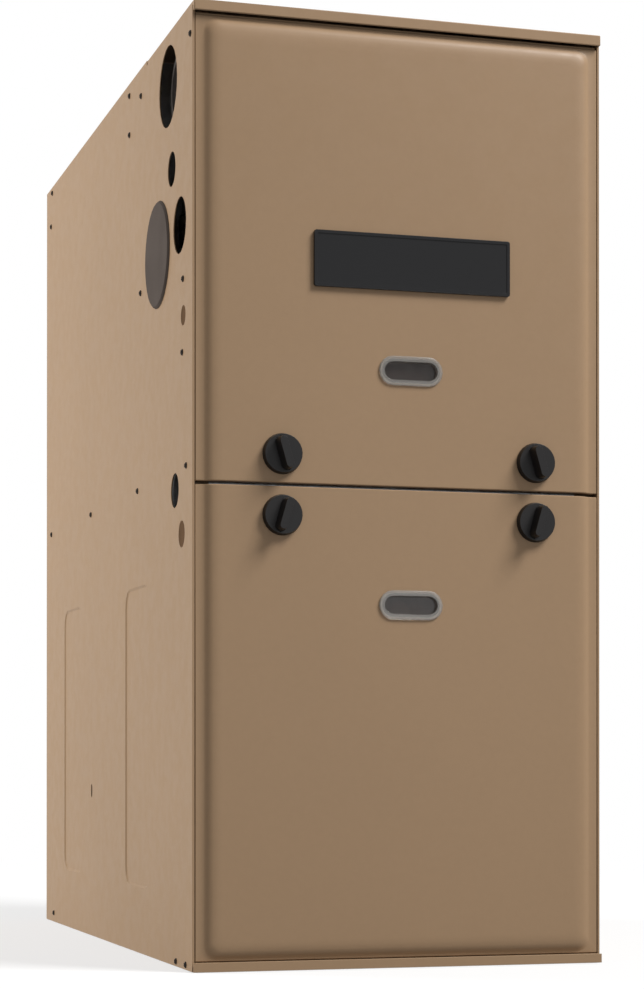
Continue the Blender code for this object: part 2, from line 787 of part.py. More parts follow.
def mid_rail():
    """The rail behind the seam, which the doors' inner edges close against."""
    back = RAIL_FACE + RAIL_FLANGE
    path = [
        (back, MID_RAIL_LOW),
        (RAIL_FACE, MID_RAIL_LOW),
        (RAIL_FACE, MID_RAIL_HIGH),
        (back, MID_RAIL_HIGH),
    ]
    rail = plate("mid_rail", [folded(path, -SHEET)], "side", -INSIDE, INSIDE)
    return finish(rail, "galvanised")


def blower_outlet():
    """The blower's outlet: front and rear edge along Y, and half its width."""
    near = BLOWER_Y
    far = BLOWER_Y + WHEEL_RADIUS + WHEEL_CLEARANCE + SCROLL_GROWTH
    return near, far, HOUSING_WIDTH / 2


def blower_deck():
    front = RAIL_FACE + SHEET + GAP
    rear = REAR - SHEET - GAP
    deck = box("blower_deck", (-INSIDE, front, DECK_UNDER), (INSIDE, rear, DECK_TOP))
    start = FRONT + DECK_FLANGE_START
    for side in (-1, 1):
        inner = side * (INSIDE - SHEET)
        ends = sorted((inner, side * INSIDE))
        low = DECK_UNDER - DECK_FLANGE
        fuse(deck, box("deck_flange", (ends[0], start, low), (ends[1], rear, DECK_UNDER + SHEET / 2)))
    near, far, half = blower_outlet()
    inset = HOUSING_SHEET + 0.001
    opening = box(
        "deck_opening",
        (-half + inset, near + inset, DECK_UNDER - 0.01),
        (half - inset, far - inset, DECK_TOP + 0.01),
    )
    return finish(cut(deck, opening), "galvanised")


def vestibule_panel():
    """The wall between the burner compartment and the heat exchanger."""
    low = DECK_TOP + GAP
    high = TOP_UNDER - GAP
    path = [
        (-INSIDE, PANEL_BACK + PANEL_FLANGE),
        (-INSIDE, PANEL_FACE),
        (INSIDE, PANEL_FACE),
        (INSIDE, PANEL_BACK + PANEL_FLANGE),
    ]
    panel = plate("vestibule_panel", [folded(path, SHEET)], "top", low, high)
    ports = [
        rod("port", (x, PANEL_FACE, BURNER_HEIGHT), TUBE_RADIUS + PORT_CLEARANCE, 0.02, "front", 24)
        for x in BURNER_XS
    ]
    cut(panel, group("burner_ports", ports))
    margin = 0.012
    window = box(
        "coil_window",
        (-PANEL_WINDOW_SIDE, PANEL_FACE - 0.01, COIL_LOW + margin),
        (PANEL_WINDOW_SIDE, PANEL_BACK + 0.01, HEADER_STEP_Z - margin),
    )
    lips = [
        box(
            "lip_notch",
            (side * RIGHT - 2 * SHEET, PANEL_FACE - 0.01, CASE_HEIGHT - TOP_SIDE_LIP - GAP),
            (side * RIGHT + 2 * SHEET, FRONT + TOP_PLATE_DEPTH + GAP, CASE_HEIGHT),
        )
        for side in (-1, 1)
    ]
    return finish(cut(panel, window, group("lip_notches", lips)), "galvanised")


# Doors and their fittings


def field_edge():
    """How far in and how far out each line of the field's edge lies: steep, then easing to the flat."""
    shares = ((0.075, 0.10), (0.19, 0.38), (0.31, 0.66), (0.50, 0.86), (0.75, 0.96), (1, 1))
    return [(FIELD_SLOPE * across, FIELD_RAISE * up) for across, up in shares]


def inner_edge(edge):
    """The same edge on the inner face of the sheet."""
    inner = []
    before = (0, 0)
    for n, (across, up) in enumerate(edge):
        after = edge[n + 1] if n + 1 < len(edge) else (across + 1, up)
        lean = math.atan2(after[1] - before[1], after[0] - before[0])
        inner.append((across + SHEET * math.sin(lean), up - SHEET * math.cos(lean)))
        before = (across, up)
    return inner


def door(name, low, high, open_low):
    """A pressed door: a flat border, a raised field that runs out at the seam, and back flanges."""
    back = FRONT + DOOR_FLANGE
    seam = low if open_low else high
    past = -SEAM_GAP if open_low else SEAM_GAP
    blank_ends = sorted((seam + past, high if open_low else low))
    blank = box(name, (-DOOR_HALF, FRONT, blank_ends[0]), (DOOR_HALF, back, blank_ends[1]))
    centre = (0, (low + high) / 2)
    border = RIGHT - FIELD_BORDER
    corners = (0, FIELD_CORNER) if open_low else (FIELD_CORNER, 0)

    def ring(inset, seam_end):
        """One outline of the field, drawn in by inset except at the seam."""
        if open_low:
            ends = (seam_end, high - FIELD_MARGIN - inset)
        else:
            ends = (low + FIELD_MARGIN + inset, seam_end)
        radii = [r - inset * 0.3 if r else 0 for r in corners]
        return rounded(-border + inset, ends[0], border - inset, ends[1], *radii)

    edge = field_edge()
    run = edge[0][0] / edge[0][1]
    root = SHEET / 2
    beyond = seam + 2 * past
    rings = [(ring(-root * run, beyond), 0)]
    rings += [(ring(across, beyond), root + up) for across, up in edge]
    fuse(blank, tapered("field", rings, "front", FRONT + root, centre))
    trim_ends = sorted((seam, seam + 4 * past))
    cut(blank, box("seam_trim", (-0.3, FRONT - 0.02, trim_ends[0]), (0.3, back + 0.01, trim_ends[1])))
    soften(blank, DOOR_EDGE_ROUND)

    half = DOOR_HALF - SHEET
    cut(blank, box("door_hollow", (-half, FRONT + SHEET, low + SHEET), (half, back + 0.01, high - SHEET)))
    inner = seam + (SHEET if open_low else -SHEET)
    deep = SHEET * 1.2
    rings = [(ring(SHEET * math.hypot(run, 1) - deep * run, inner), 0)]
    rings += [(ring(across, inner), deep + up) for across, up in inner_edge(edge)]
    return cut(blank, tapered("field_pocket", rings, "front", FRONT + deep, centre))


def window_cutter(height):
    loop = obround(FACE_CENTRE_X, height, WINDOW_WIDTH + 0.0044, WINDOW_HEIGHT + 0.0044)
    return plate("window_hole", [loop], "front", FIELD_FACE - 0.01, FRONT + 0.001)


def knob_cutters(height):
    return [
        rod("knob_hole", (x, FIELD_FACE, height), KNOB_HOLE_RADIUS, 0.01, "front", 16) for x in KNOB_XS
    ]


def fitted_door(name, low, high, open_low, window_height, knob_height):
    made = door(name, low, high, open_low)
    cut(made, window_cutter(window_height))
    cut(made, group(name + "_knob_holes", knob_cutters(knob_height)))
    return finish(made, "cabinet_paint")


def sight_window(name, height):
    """A clear cup that snaps into the door: a rim outside and a lens set back."""
    outer = obround(FACE_CENTRE_X, height, WINDOW_WIDTH + 2 * WINDOW_RIM, WINDOW_HEIGHT + 2 * WINDOW_RIM)
    face = FIELD_FACE - GAP
    rim = plate(name, [outer], "front", face - 0.0015, face)
    soften(rim, 0.0007)
    neck = obround(FACE_CENTRE_X, height, WINDOW_WIDTH + 0.0034, WINDOW_HEIGHT + 0.0034)
    fuse(rim, plate("neck", [neck], "front", face - 0.001, FIELD_FACE + WINDOW_DEPTH))
    lower = obround(FACE_CENTRE_X, height, WINDOW_WIDTH, WINDOW_HEIGHT)
    floor = obround(FACE_CENTRE_X, height, WINDOW_WIDTH - 0.002, WINDOW_HEIGHT - 0.002)
    base = FIELD_FACE + WINDOW_DEPTH - 0.0015
    rings = [(floor, 0), (lower, WINDOW_DEPTH + 0.0025)]
    return finish(cut(rim, tapered("cup", rings, "front", base, (FACE_CENTRE_X, height))), "clear_plastic")


def door_knob(name, x, height, tilt):
    """A quarter-turn knob with its shaft through the door and an ear in front of the rail."""
    face = FIELD_FACE - GAP
    middle = (x, face - KNOB_BASE / 2, height)
    knob = rod(name, middle, KNOB_RADIUS, KNOB_BASE, "front", 28, KNOB_RADIUS - 0.0012)
    pivot = (x, face, height)
    foot = obround(x, height, KNOB_GRIP_LENGTH, KNOB_GRIP_WIDTH * 1.25, 6)
    crest = obround(x, height, KNOB_GRIP_LENGTH - 0.003, KNOB_GRIP_WIDTH * 0.75, 6)
    rings = [(foot, 0), (crest, KNOB_HEIGHT - KNOB_BASE / 2)]
    grip = tapered("grip", rings, "front", face - KNOB_BASE / 2, (x, height))
    ear_end = RAIL_FACE - LATCH_EAR_GAP
    ear_start = ear_end - LATCH_EAR_THICK
    length = ear_end - face + 0.001
    shaft = rod("shaft", (x, ear_end - length / 2, height), KNOB_SHAFT_RADIUS, length, "front", 12)
    ear = plate(
        "ear",
        [obround(x, height, LATCH_EAR_LENGTH, LATCH_EAR_WIDTH, 3)],
        "front",
        ear_start,
        ear_end - 0.0002,
    )
    for tool in (grip, shaft, ear):
        turn_about(tool, pivot, "Y", 90 + tilt)
        fuse(knob, tool)
    turn_about(knob, pivot, "Y", 90 + tilt)
    return finish(knob, "black_plastic")


def badge():
    face = FIELD_FACE - GAP

    def outline(inset, corner, steps):
        across = BADGE_WIDTH / 2 - inset
        up = BADGE_HEIGHT / 2 - inset
        x = BADGE_CENTRE_X
        z = BADGE_CENTRE_HEIGHT
        return rounded(x - across, z - up, x + across, z + up, corner, corner, steps)

    made = plate("badge_plate", [outline(0, 0.002, 4)], "front", face - BADGE_THICK, face)
    soften(made, 0.0006)
    recess = outline(0.0028, 0.001, 2)
    tool = plate("badge_recess", [recess], "front", face - BADGE_THICK - 0.01, face - BADGE_THICK + 0.0006)
    return finish(cut(made, tool), "badge_black")


def door_insulation(name, low, high, window_height):
    half = DOOR_HALF - INSULATION_INSET
    loops = [rounded(-half, low, half, high, 0.006, 0.006, 2)]
    near = FIELD_FACE + SHEET + GAP
    if low < window_height < high:
        loops.append(obround(FACE_CENTRE_X, window_height, WINDOW_WIDTH + 0.014, WINDOW_HEIGHT + 0.014, 6))
    made = plate(name, loops, "front", near, near + INSULATION_THICK)
    return finish(made, "insulation")


# Burners and gas train


def burner_box():
    back = PANEL_FACE - GAP
    front = back - BOX_DEPTH
    case = box("burner_box", (-BOX_SIDE, front, BOX_LOW), (BOX_SIDE, back, BOX_HIGH))
    rack = back - RACK_FROM_BACK
    inner = BOX_SIDE - SHEET
    low = BOX_LOW + SHEET
    high = BOX_HIGH - SHEET
    fore = box("box_fore", (-inner, front - 0.01, low), (inner, rack - SHEET, high))
    aft = box("box_aft", (-inner, rack, low), (inner, back - SHEET, high))
    cut(case, fore, aft)
    bores = [
        rod("rack_hole", (x, rack, BURNER_HEIGHT), BURNER_THROAT + 0.003 + GAP * 2, 0.02, "front", 20)
        for x in BURNER_XS
    ]
    mouths = [
        rod("box_port", (x, back, BURNER_HEIGHT), TUBE_RADIUS + PORT_CLEARANCE, 0.02, "front", 24)
        for x in BURNER_XS
    ]
    probes = [
        rod("probe_hole", (x, rack + PROBE_FROM_RACK, BOX_LOW), PROBE_RADIUS + GAP * 2, 0.01, "top", 12)
        for x in (IGNITER_X, SENSOR_X)
    ]
    cut(case, group("rack_holes", bores), group("box_ports", mouths), group("probe_holes", probes))
    return finish(case, "aluminised")


def burner(name, x):
    """An in-shot burner: a flared air mouth, a throat and a wider flame head."""
    length = BURNER_LENGTH
    wall = BURNER_WALL
    throat = BURNER_THROAT
    head = BURNER_HEAD
    collar = throat + 0.003
    outside = [
        (throat + 0.006, length),
        (throat, length * 0.78),
        (collar, length * 0.56),
        (collar, length * 0.34),
        (head, length * 0.16),
        (head, 0),
    ]
    inside = [(radius - wall, height) for radius, height in reversed(outside)]
    centre = (x, PANEL_FACE - 0.014, BURNER_HEIGHT)
    made = turned(name, outside + inside, centre, "front", 16)
    return finish(made, "aluminised")


def gas_manifold():
    bracket = BOX_SIDE + GAP
    left = -bracket - BRACKET_THICK - 0.002
    top = BURNER_HEIGHT
    corners = [
        (left, MANIFOLD_Y, top),
        (VALVE_CENTRE_X, MANIFOLD_Y, top),
        (VALVE_CENTRE_X, MANIFOLD_Y, VALVE_HIGH + 0.008 + GAP),
    ]
    pipe = tube("gas_manifold", rounded_path(corners, 0.016, 4), MANIFOLD_RADIUS, 14)
    cap = rod("pipe_cap", (left, MANIFOLD_Y, top), MANIFOLD_RADIUS + 0.002, 0.008, "side", 8)
    fuse(pipe, cap)
    fore = MANIFOLD_Y - MANIFOLD_RADIUS * 0.6
    aft = PANEL_FACE - BOX_DEPTH + BRACKET_LAP
    for side in (-1, 1):
        outline = rounded(fore, top - BRACKET_HEIGHT / 2, aft, top + BRACKET_HEIGHT / 2, 0.004, 0.004, 2)
        fuse(pipe, plate("bracket", [outline], "side", side * bracket, side * (bracket + BRACKET_THICK)))
    reach = 0.016
    for x in BURNER_XS:
        spud = rod(
            "spud",
            (x, MANIFOLD_Y + MANIFOLD_RADIUS / 2 + reach / 2, top),
            SPUD_RADIUS * 0.7,
            MANIFOLD_RADIUS + reach,
            "front",
            8,
            SPUD_RADIUS,
        )
        fuse(pipe, spud)
    return finish(pipe, "black_steel")


def gas_valve():
    y = MANIFOLD_Y
    half = VALVE_WIDTH / 2
    deep = VALVE_DEPTH / 2
    low = (VALVE_CENTRE_X - half, y - deep, VALVE_LOW)
    high = (VALVE_CENTRE_X + half, y + deep, VALVE_HIGH)
    body = soften(box("gas_valve", low, high), 0.004)
    inlet_z = GAS_HOLE[1]
    inlet_y = FRONT + GAS_HOLE[0]
    inlet = rod("inlet", (VALVE_CENTRE_X - half - 0.004, inlet_y, inlet_z), 0.017, 0.020, "side", 6)
    outlet = rod("outlet", (VALVE_CENTRE_X, y, VALVE_HIGH + 0.003), 0.016, 0.010, "top", 6)
    low = (VALVE_CENTRE_X - 0.022, y + deep - 0.004, VALVE_LOW + 0.012)
    high = (VALVE_CENTRE_X + 0.022, y + deep + 0.018, VALVE_HIGH - 0.014)
    fuse(body, inlet, outlet, box("solenoid", low, high))
    bore = rod("inlet_bore", (VALVE_CENTRE_X - half - 0.012, inlet_y, inlet_z), 0.0125, 0.022, "side", 16)
    return finish(cut(body, bore), "cast_grey")


def valve_knob():
    face = MANIFOLD_Y - VALVE_DEPTH / 2 - GAP
    x = VALVE_CENTRE_X + 0.006
    z = (VALVE_LOW + VALVE_HIGH) / 2
    middle = (x, face - VALVE_KNOB_HEIGHT / 4, z)
    knob = rod("gas_valve_knob", middle, VALVE_KNOB_RADIUS, VALVE_KNOB_HEIGHT / 2, "front", 20)
    bar = plate(
        "bar",
        [obround(x, z, VALVE_KNOB_RADIUS * 1.8, 0.006, 4)],
        "front",
        face - VALVE_KNOB_HEIGHT,
        face - VALVE_KNOB_HEIGHT / 4,
    )
    return finish(fuse(knob, bar), "red_plastic")


def slab(name, centre, across, deep, low, high):
    """A block about a vertical line through the centre."""
    x, y = centre
    return box(name, (x - across / 2, y - deep / 2, low), (x + across / 2, y + deep / 2, high))


def igniter():
    y = PANEL_FACE - GAP - RACK_FROM_BACK + PROBE_FROM_RACK
    seat = BOX_LOW - GAP
    base = rod("igniter", (IGNITER_X, y, BOX_LOW - 0.003), PROBE_RADIUS, 0.034, "top", 12)
    flange = slab("igniter_flange", (IGNITER_X, y), 0.026, 0.016, seat - 0.0025, seat)
    blade = slab("igniter_blade", (IGNITER_X, y), 0.007, 0.002, BOX_LOW + 0.010, BURNER_HEIGHT - 0.001)
    return finish(fuse(base, flange, blade), "ceramic")


def flame_sensor():
    y = PANEL_FACE - GAP - RACK_FROM_BACK + PROBE_FROM_RACK
    seat = BOX_LOW - GAP
    base = rod("flame_sensor", (SENSOR_X, y, BOX_LOW - 0.004), PROBE_RADIUS - 0.001, 0.030, "top", 12)
    flange = slab("sensor_flange", (SENSOR_X, y), 0.022, 0.014, seat - 0.0015, seat)
    wire = rod("sensor_rod", (SENSOR_X, y, BOX_LOW + 0.025), 0.0015, 0.032, "top", 8)
    return finish(fuse(base, flange, wire), "ceramic")


def rollout_switch():
    y = PANEL_FACE - BOX_DEPTH / 2
    floor = BOX_HIGH + GAP
    flange = slab("rollout_switch", (ROLLOUT_X, y), 0.032, 0.014, floor, floor + 0.0012)
    can = rod("can", (ROLLOUT_X, y, floor + 0.0055), ROLLOUT_RADIUS, 0.011, "top", 16)
    fuse(flange, can)
    well = rod("button_well", (ROLLOUT_X, y, floor + 0.010), RESET_RADIUS + GAP, 0.008, "top", 12)
    return finish(cut(flange, well), "black_plastic")


def rollout_button():
    y = PANEL_FACE - BOX_DEPTH / 2
    low = BOX_HIGH + GAP + 0.006 + RESET_TRAVEL + GAP
    made = rod("rollout_reset_button", (ROLLOUT_X, y, low + 0.003), RESET_RADIUS, 0.006, "top", 12)
    return finish(made, "red_plastic")


def limit_switch():
    face = PANEL_FACE - GAP
    middle = (LIMIT_X, face - 0.00075)
    flange = slab("limit_switch", middle, 0.028, 0.0015, LIMIT_Z - 0.020, LIMIT_Z + 0.020)
    can = rod("limit_can", (LIMIT_X, face - 0.007, LIMIT_Z), 0.010, 0.014, "front", 16)
    tabs = slab("tabs", (LIMIT_X, face - 0.0155), 0.016, 0.011, LIMIT_Z - 0.0008, LIMIT_Z + 0.0008)
    return finish(fuse(flange, can, tabs), "black_plastic")


# Heat exchanger


def exchanger_tube(name, x):
    """A serpentine tube: back from the burner, round to the front, and back to the rear header."""
    top = BURNER_HEIGHT
    step = TUBE_PASS_STEP
    corners = [
        (x, PANEL_FACE + GAP, top),
        (x, TUBE_REAR_Y, top),
        (x, TUBE_REAR_Y, top - step),
        (x, TUBE_FRONT_Y, top - step),
        (x, TUBE_FRONT_Y, top - 2 * step),
        (x, REAR_HEADER_Y - GAP, top - 2 * step),
    ]
    path = rounded_path(corners, step / 2 - 0.0001, 5)
    made = tube(name, path, TUBE_RADIUS, 12)
    depth = 0.10
    bore = rod("tube_bore", (x, PANEL_FACE, top), TUBE_RADIUS - TUBE_WALL, 2 * depth, "front", 12)
    return finish(cut(made, bore), "aluminised")


def rear_header():
    low = COIL_LOW
    high = BURNER_HEIGHT - 2 * TUBE_PASS_STEP + REAR_HEADER_RISE
    front = REAR_HEADER_Y
    side = REAR_HEADER_SIDE
    outline = [
        (front, low),
        (front + REAR_HEADER_DEPTH, low + 0.015),
        (front + REAR_HEADER_DEPTH, high - 0.012),
        (front + REAR_HEADER_DEPTH - 0.012, high),
        (front, high),
    ]
    made = plate("rear_header", [outline], "side", -side, side)
    lip = box("header_lip", (-side - 0.008, front, low), (side + 0.008, front + 0.0015, high + 0.008))
    return finish(fuse(made, lip), "aluminised")


def secondary_coil():
    """The finned coil under the tubes, with end plates at the front and the rear."""
    front = COIL_FRONT
    rear = REAR_HEADER_Y - GAP
    low = COIL_LOW
    high = COIL_HIGH
    middle = (low + high) / 2
    plate_thick = 0.004
    pitch = (rear - front - 2 * plate_thick) / FIN_COUNT
    top = []
    for n in range(FIN_COUNT):
        start = front + plate_thick + pitch * (n + 0.5) - FIN_THICK / 2
        top += [(start, middle + COIL_CORE / 2), (start, high), (start + FIN_THICK, high)]
        top.append((start + FIN_THICK, middle + COIL_CORE / 2))
    ends = [(front, low), (front, high), (front + plate_thick, high)]
    ends.append((front + plate_thick, middle + COIL_CORE / 2))
    far = [(rear - plate_thick, middle + COIL_CORE / 2), (rear - plate_thick, high), (rear, high)]
    upper = ends[1:] + top + far
    lower = [(y, 2 * middle - z) for y, z in reversed(upper)]
    made = plate("secondary_coil", [upper + lower], "side", -COIL_SIDE, COIL_SIDE)
    return finish(made, "stainless")


# Vent blower and pipe


def condensate_header():
    outline = [
        (HEADER_LEFT, HEADER_LOW),
        (HEADER_RIGHT, HEADER_LOW),
        (HEADER_RIGHT, HEADER_STEP_Z),
        (HEADER_STEP_X, HEADER_STEP_Z),
        (HEADER_STEP_X, HEADER_TOP),
        (HEADER_LEFT, HEADER_TOP),
    ]
    made = plate("condensate_header", [outline], "front", HEADER_FACE, PANEL_FACE - GAP)
    soften(made, 0.004, 2)
    intake = rod("intake", (INDUCER_X, HEADER_FACE, INDUCER_Z), 0.024, 0.04, "front", 20)
    return finish(cut(made, intake), "black_plastic")


def inducer_outline(shift, top):
    """The scroll of the vent blower, drawn in by shift, with its outlet going up at the left."""
    turn = []
    for n in range(21):
        share = n / 20
        radius = INDUCER_START + (INDUCER_END - INDUCER_START) * share - shift
        angle = math.radians(90 - 270 * share)
        turn.append((INDUCER_X + radius * math.cos(angle), INDUCER_Z + radius * math.sin(angle)))
    left = INDUCER_X - INDUCER_END + shift
    right = INDUCER_X - INDUCER_END + INDUCER_DUCT - shift
    return [(right, top)] + turn + [(left, top)]


def inducer_housing():
    outer = inducer_outline(0, INDUCER_DUCT_TOP)
    made = plate("inducer_housing", [outer], "front", INDUCER_FRONT, INDUCER_BACK)
    soften(made, 0.0025)
    stub_low = INDUCER_DUCT_TOP - INDUCER_WALL
    stub_high = INDUCER_DUCT_TOP + VENT_STUB
    middle = (VENT_X, VENT_Y, (stub_low + stub_high) / 2)
    fuse(made, rod("stub", middle, STUB_RADIUS, stub_high - stub_low, "top", VENT_SIDES))
    inner = inducer_outline(INDUCER_WALL, INDUCER_DUCT_TOP - INDUCER_WALL)
    pocket = plate("scroll_pocket", [inner], "front", INDUCER_FRONT + INDUCER_WALL, INDUCER_BACK + 0.01)
    bore = rod("stub_bore", (VENT_X, VENT_Y, stub_high - 0.02), STUB_RADIUS - 0.002, 0.05, "top", VENT_SIDES)
    hole = rod("shaft_hole", (INDUCER_X, INDUCER_FRONT, INDUCER_Z), INDUCER_SHAFT + 0.002, 0.02, "front", 12)
    cut(made, pocket, bore, hole)
    return finish(made, "black_plastic")


def inducer_wheel():
    """A radial wheel on its shaft, which runs out through the housing to the motor."""
    back = INDUCER_BACK - 0.004
    front = back - INDUCER_WHEEL_THICK
    disc_middle = (INDUCER_X, front + 0.001, INDUCER_Z)
    wheel = rod("inducer_wheel", disc_middle, INDUCER_WHEEL, 0.002, "front", 28)
    hub = rod("hub", (INDUCER_X, front + 0.006, INDUCER_Z), 0.009, 0.012, "front", 14)
    fuse(wheel, hub)
    blades = []
    for n in range(INDUCER_BLADES):
        angle = 2 * math.pi * n / INDUCER_BLADES
        path = []
        for share in (0, 0.5, 1):
            radius = 0.014 + (INDUCER_WHEEL - 0.001 - 0.014) * share
            lean = angle - 0.5 * share
            path.append((INDUCER_X + radius * math.cos(lean), INDUCER_Z + radius * math.sin(lean)))
        blades.append(plate("blade", [folded(path, 0.0012)], "front", front + 0.001, back))
    fuse(wheel, group("inducer_blades", blades))
    motor_back = INDUCER_FRONT - GAP - MOTOR_FOOT
    start = motor_back - 0.012
    end = front + 0.012
    shaft = rod("shaft", (INDUCER_X, (start + end) / 2, INDUCER_Z), INDUCER_SHAFT, end - start, "front", 10)
    return finish(fuse(wheel, shaft), "galvanised")


def inducer_motor():
    back = INDUCER_FRONT - GAP - MOTOR_FOOT
    front = back - INDUCER_MOTOR_LENGTH
    middle = (INDUCER_X, (front + back) / 2, INDUCER_Z)
    radius = INDUCER_MOTOR_RADIUS
    motor = rod("inducer_motor", middle, radius, INDUCER_MOTOR_LENGTH, "front", 24)
    soften(motor, 0.003)
    for n in range(3):
        angle = math.radians(90 + 120 * n)
        x = INDUCER_X + (radius + 0.002) * math.cos(angle)
        z = INDUCER_Z + (radius + 0.002) * math.sin(angle)
        start = back - 0.020
        end = INDUCER_FRONT - GAP
        fuse(motor, rod("leg", (x, (start + end) / 2, z), 0.0045, end - start, "front", 10))
    bore = rod("motor_bore", (INDUCER_X, back, INDUCER_Z), INDUCER_SHAFT + GAP, 0.030, "front", 12)
    return finish(cut(motor, bore), "black_steel")


def vent_pipe():
    """The vent: up from the vent blower and round through the hole in the left side."""
    low = INDUCER_DUCT_TOP + GAP
    height = VENT_HOLE[1]
    mouth = LEFT + SHEET + VENT_SET_BACK
    corners = [(VENT_X, VENT_Y, low), (VENT_X, VENT_Y, height), (mouth, VENT_Y, height)]
    radius = min(VENT_BEND, VENT_X - mouth - 0.0001)
    made = tube("vent_pipe", rounded_path(corners, radius, 5), VENT_OUTER, VENT_SIDES)
    longer = [(VENT_X, VENT_Y, low - 0.01), (VENT_X, VENT_Y, height), (mouth - 0.01, VENT_Y, height)]
    bore = tube("vent_bore", rounded_path(longer, radius, 5), VENT_BORE, VENT_SIDES)
    return finish(cut(made, bore), "vent_grey")


def pressure_switch():
    face = PANEL_FACE - GAP
    back = face - 0.014
    plate_low = SWITCH_Z - SWITCH_RADIUS - 0.008
    left = SWITCH_X - 0.016
    right = SWITCH_X + 0.016
    bracket = box("pressure_switch", (left, back, plate_low), (right, back + 0.0015, SWITCH_Z + 0.02))
    foot = box("foot", (left, back, plate_low), (right, face, plate_low + 0.0015))
    middle = (SWITCH_X, back - SWITCH_THICK / 2 + 0.001, SWITCH_Z)
    narrow = SWITCH_RADIUS - 0.004
    can = rod("can", middle, SWITCH_RADIUS, SWITCH_THICK, "front", 24, narrow)
    port = rod("port", hose_port(), HOSE_RADIUS * 0.6, 0.02, "side", 8)
    return finish(fuse(bracket, foot, can, port), "grey_plastic")


def hose_port():
    """The middle of the stub on which the hose meets the pressure switch."""
    y = PANEL_FACE - 0.014 - SWITCH_THICK / 2
    return SWITCH_X - SWITCH_RADIUS - 0.006, y, SWITCH_Z


def pressure_hose():
    x, y, z = hose_port()
    drop_x = HEADER_STEP_X + 2 * HOSE_RADIUS + 0.002
    corners = [(x - 0.0103, y, z), (drop_x, y, z), (drop_x, y, HEADER_STEP_Z + GAP)]
    made = tube("pressure_hose", rounded_path(corners, 0.012, 6), HOSE_RADIUS, 10)
    return finish(made, "rubber")


def condensate_trap():
    face = PANEL_FACE - GAP - 0.006
    left = HEADER_RIGHT + GAP
    low = HEADER_LOW
    body = box("condensate_trap", (left, face - 0.032, low), (left + TRAP_WIDTH, face, low + TRAP_HEIGHT))
    soften(body, 0.004, 2)
    x = left + TRAP_WIDTH / 2
    spout = rod("spout", (x, face - 0.046, low + 0.018), 0.007, 0.032, "front", 12)
    vent = rod("vent", (x, face - 0.016, low + TRAP_HEIGHT + 0.008), 0.005, 0.022, "top", 10)
    edge = TRAP_WIDTH / 2 - 0.008
    foot = box("trap_foot", (x - edge, face - 0.004, low + 0.02), (x + edge, PANEL_FACE - GAP, low + 0.05))
    return finish(fuse(body, spout, vent, foot), "black_plastic")


# Air blower


def scroll_outline(shift, top):
    """The blower's side view: down the rear of the outlet, round the wheel and up its front."""
    near, far, _ = blower_outlet()
    start = WHEEL_RADIUS + WHEEL_CLEARANCE
    path = [(far - shift, top)]
    for n in range(SCROLL_STEPS + 1):
        share = 1 - n / SCROLL_STEPS
        radius = start + SCROLL_GROWTH * share - shift
        angle = math.radians(90 + 270 * share)
        path.append((BLOWER_Y + radius * math.cos(angle), BLOWER_Z + radius * math.sin(angle)))
    path[-1] = (near + shift, path[-1][1])
    path.append((near + shift, top))
    return path


def blower_housing():
    half = HOUSING_WIDTH / 2
    top = DECK_UNDER - GAP
    near, far, _ = blower_outlet()
    made = plate("blower_housing", [scroll_outline(0, top)], "side", -half, half)
    flange_low = (-half - SLIDE_FLANGE, near - SLIDE_FLANGE / 2, top - HOUSING_SHEET)
    flange_high = (half + SLIDE_FLANGE, far - HOUSING_SHEET / 2, top)
    fuse(made, box("slide_flange", flange_low, flange_high))
    inside = half - HOUSING_SHEET
    inner = scroll_outline(HOUSING_SHEET, top + 0.01)
    cut(made, plate("scroll_inside", [inner], "side", -inside, inside))
    cut(made, rod("inlets", (0, BLOWER_Y, BLOWER_Z), INLET_RADIUS, HOUSING_WIDTH + 0.02, "side", 28))
    for side in (-1, 1):
        fuse(made, inlet_ring(side * half, side))
    return finish(made, "galvanised")


def inlet_ring(x, side):
    """The rolled lip of an inlet, curling into the housing towards the wheel."""
    lip = INLET_RADIUS
    curl = INLET_CURL
    proud = 0.0008
    root = HOUSING_SHEET / 2
    profile = [
        (lip + 0.006, proud),
        (lip + 0.006, -root),
        (lip + 0.001, -root),
        (lip - curl * 0.25, -curl * 0.5),
        (lip - curl * 0.4, -curl),
        (lip - curl * 0.4 - root * 2, -curl),
        (lip - curl * 0.25 - root, -curl * 0.4),
        (lip - root, proud),
    ]
    made = turned("inlet_ring", profile, (x, BLOWER_Y, BLOWER_Z), "side", 28)
    if side < 0:
        turn_about(made, (x, BLOWER_Y, BLOWER_Z), "Z", 180)
    return made


def blower_wheel():
    """A forward-curved wheel: blades between two rims, held by a centre plate and a hub."""
    half = WHEEL_WIDTH / 2
    hub = rod("blower_wheel", (0, BLOWER_Y, BLOWER_Z), WHEEL_HUB, 0.030, "side", 16)
    disc = rod("centre_plate", (0, BLOWER_Y, BLOWER_Z), WHEEL_RADIUS - 0.004, 0.0016, "side", 26)
    fuse(hub, disc)
    blades = []
    for n in range(WHEEL_BLADES):
        angle = 2 * math.pi * n / WHEEL_BLADES
        path = []
        for share, lead in ((0, 0), (0.55, 0.035), (1, 0.145)):
            radius = WHEEL_INNER + 0.001 + (WHEEL_RADIUS - WHEEL_INNER - 0.003) * share
            turn = angle + lead
            path.append((BLOWER_Y + radius * math.cos(turn), BLOWER_Z + radius * math.sin(turn)))
        blades.append(plate("blade", [folded(path, BLADE_THICK)], "side", -half + 0.002, half - 0.002))
    fuse(hub, group("blades", blades))
    for side in (-1, 1):
        loops = [circle(BLOWER_Y, BLOWER_Z, radius, 26) for radius in (WHEEL_RADIUS, WHEEL_INNER)]
        ends = sorted((side * half, side * (half - 0.004)))
        fuse(hub, plate("rim", loops, "side", *ends))
    left = MOTOR_RIGHT - 0.010
    right = 0.020
    shaft = rod("shaft", ((left + right) / 2, BLOWER_Y, BLOWER_Z), BLOWER_SHAFT, right - left, "side", 12)
    return finish(fuse(hub, shaft), "galvanised")


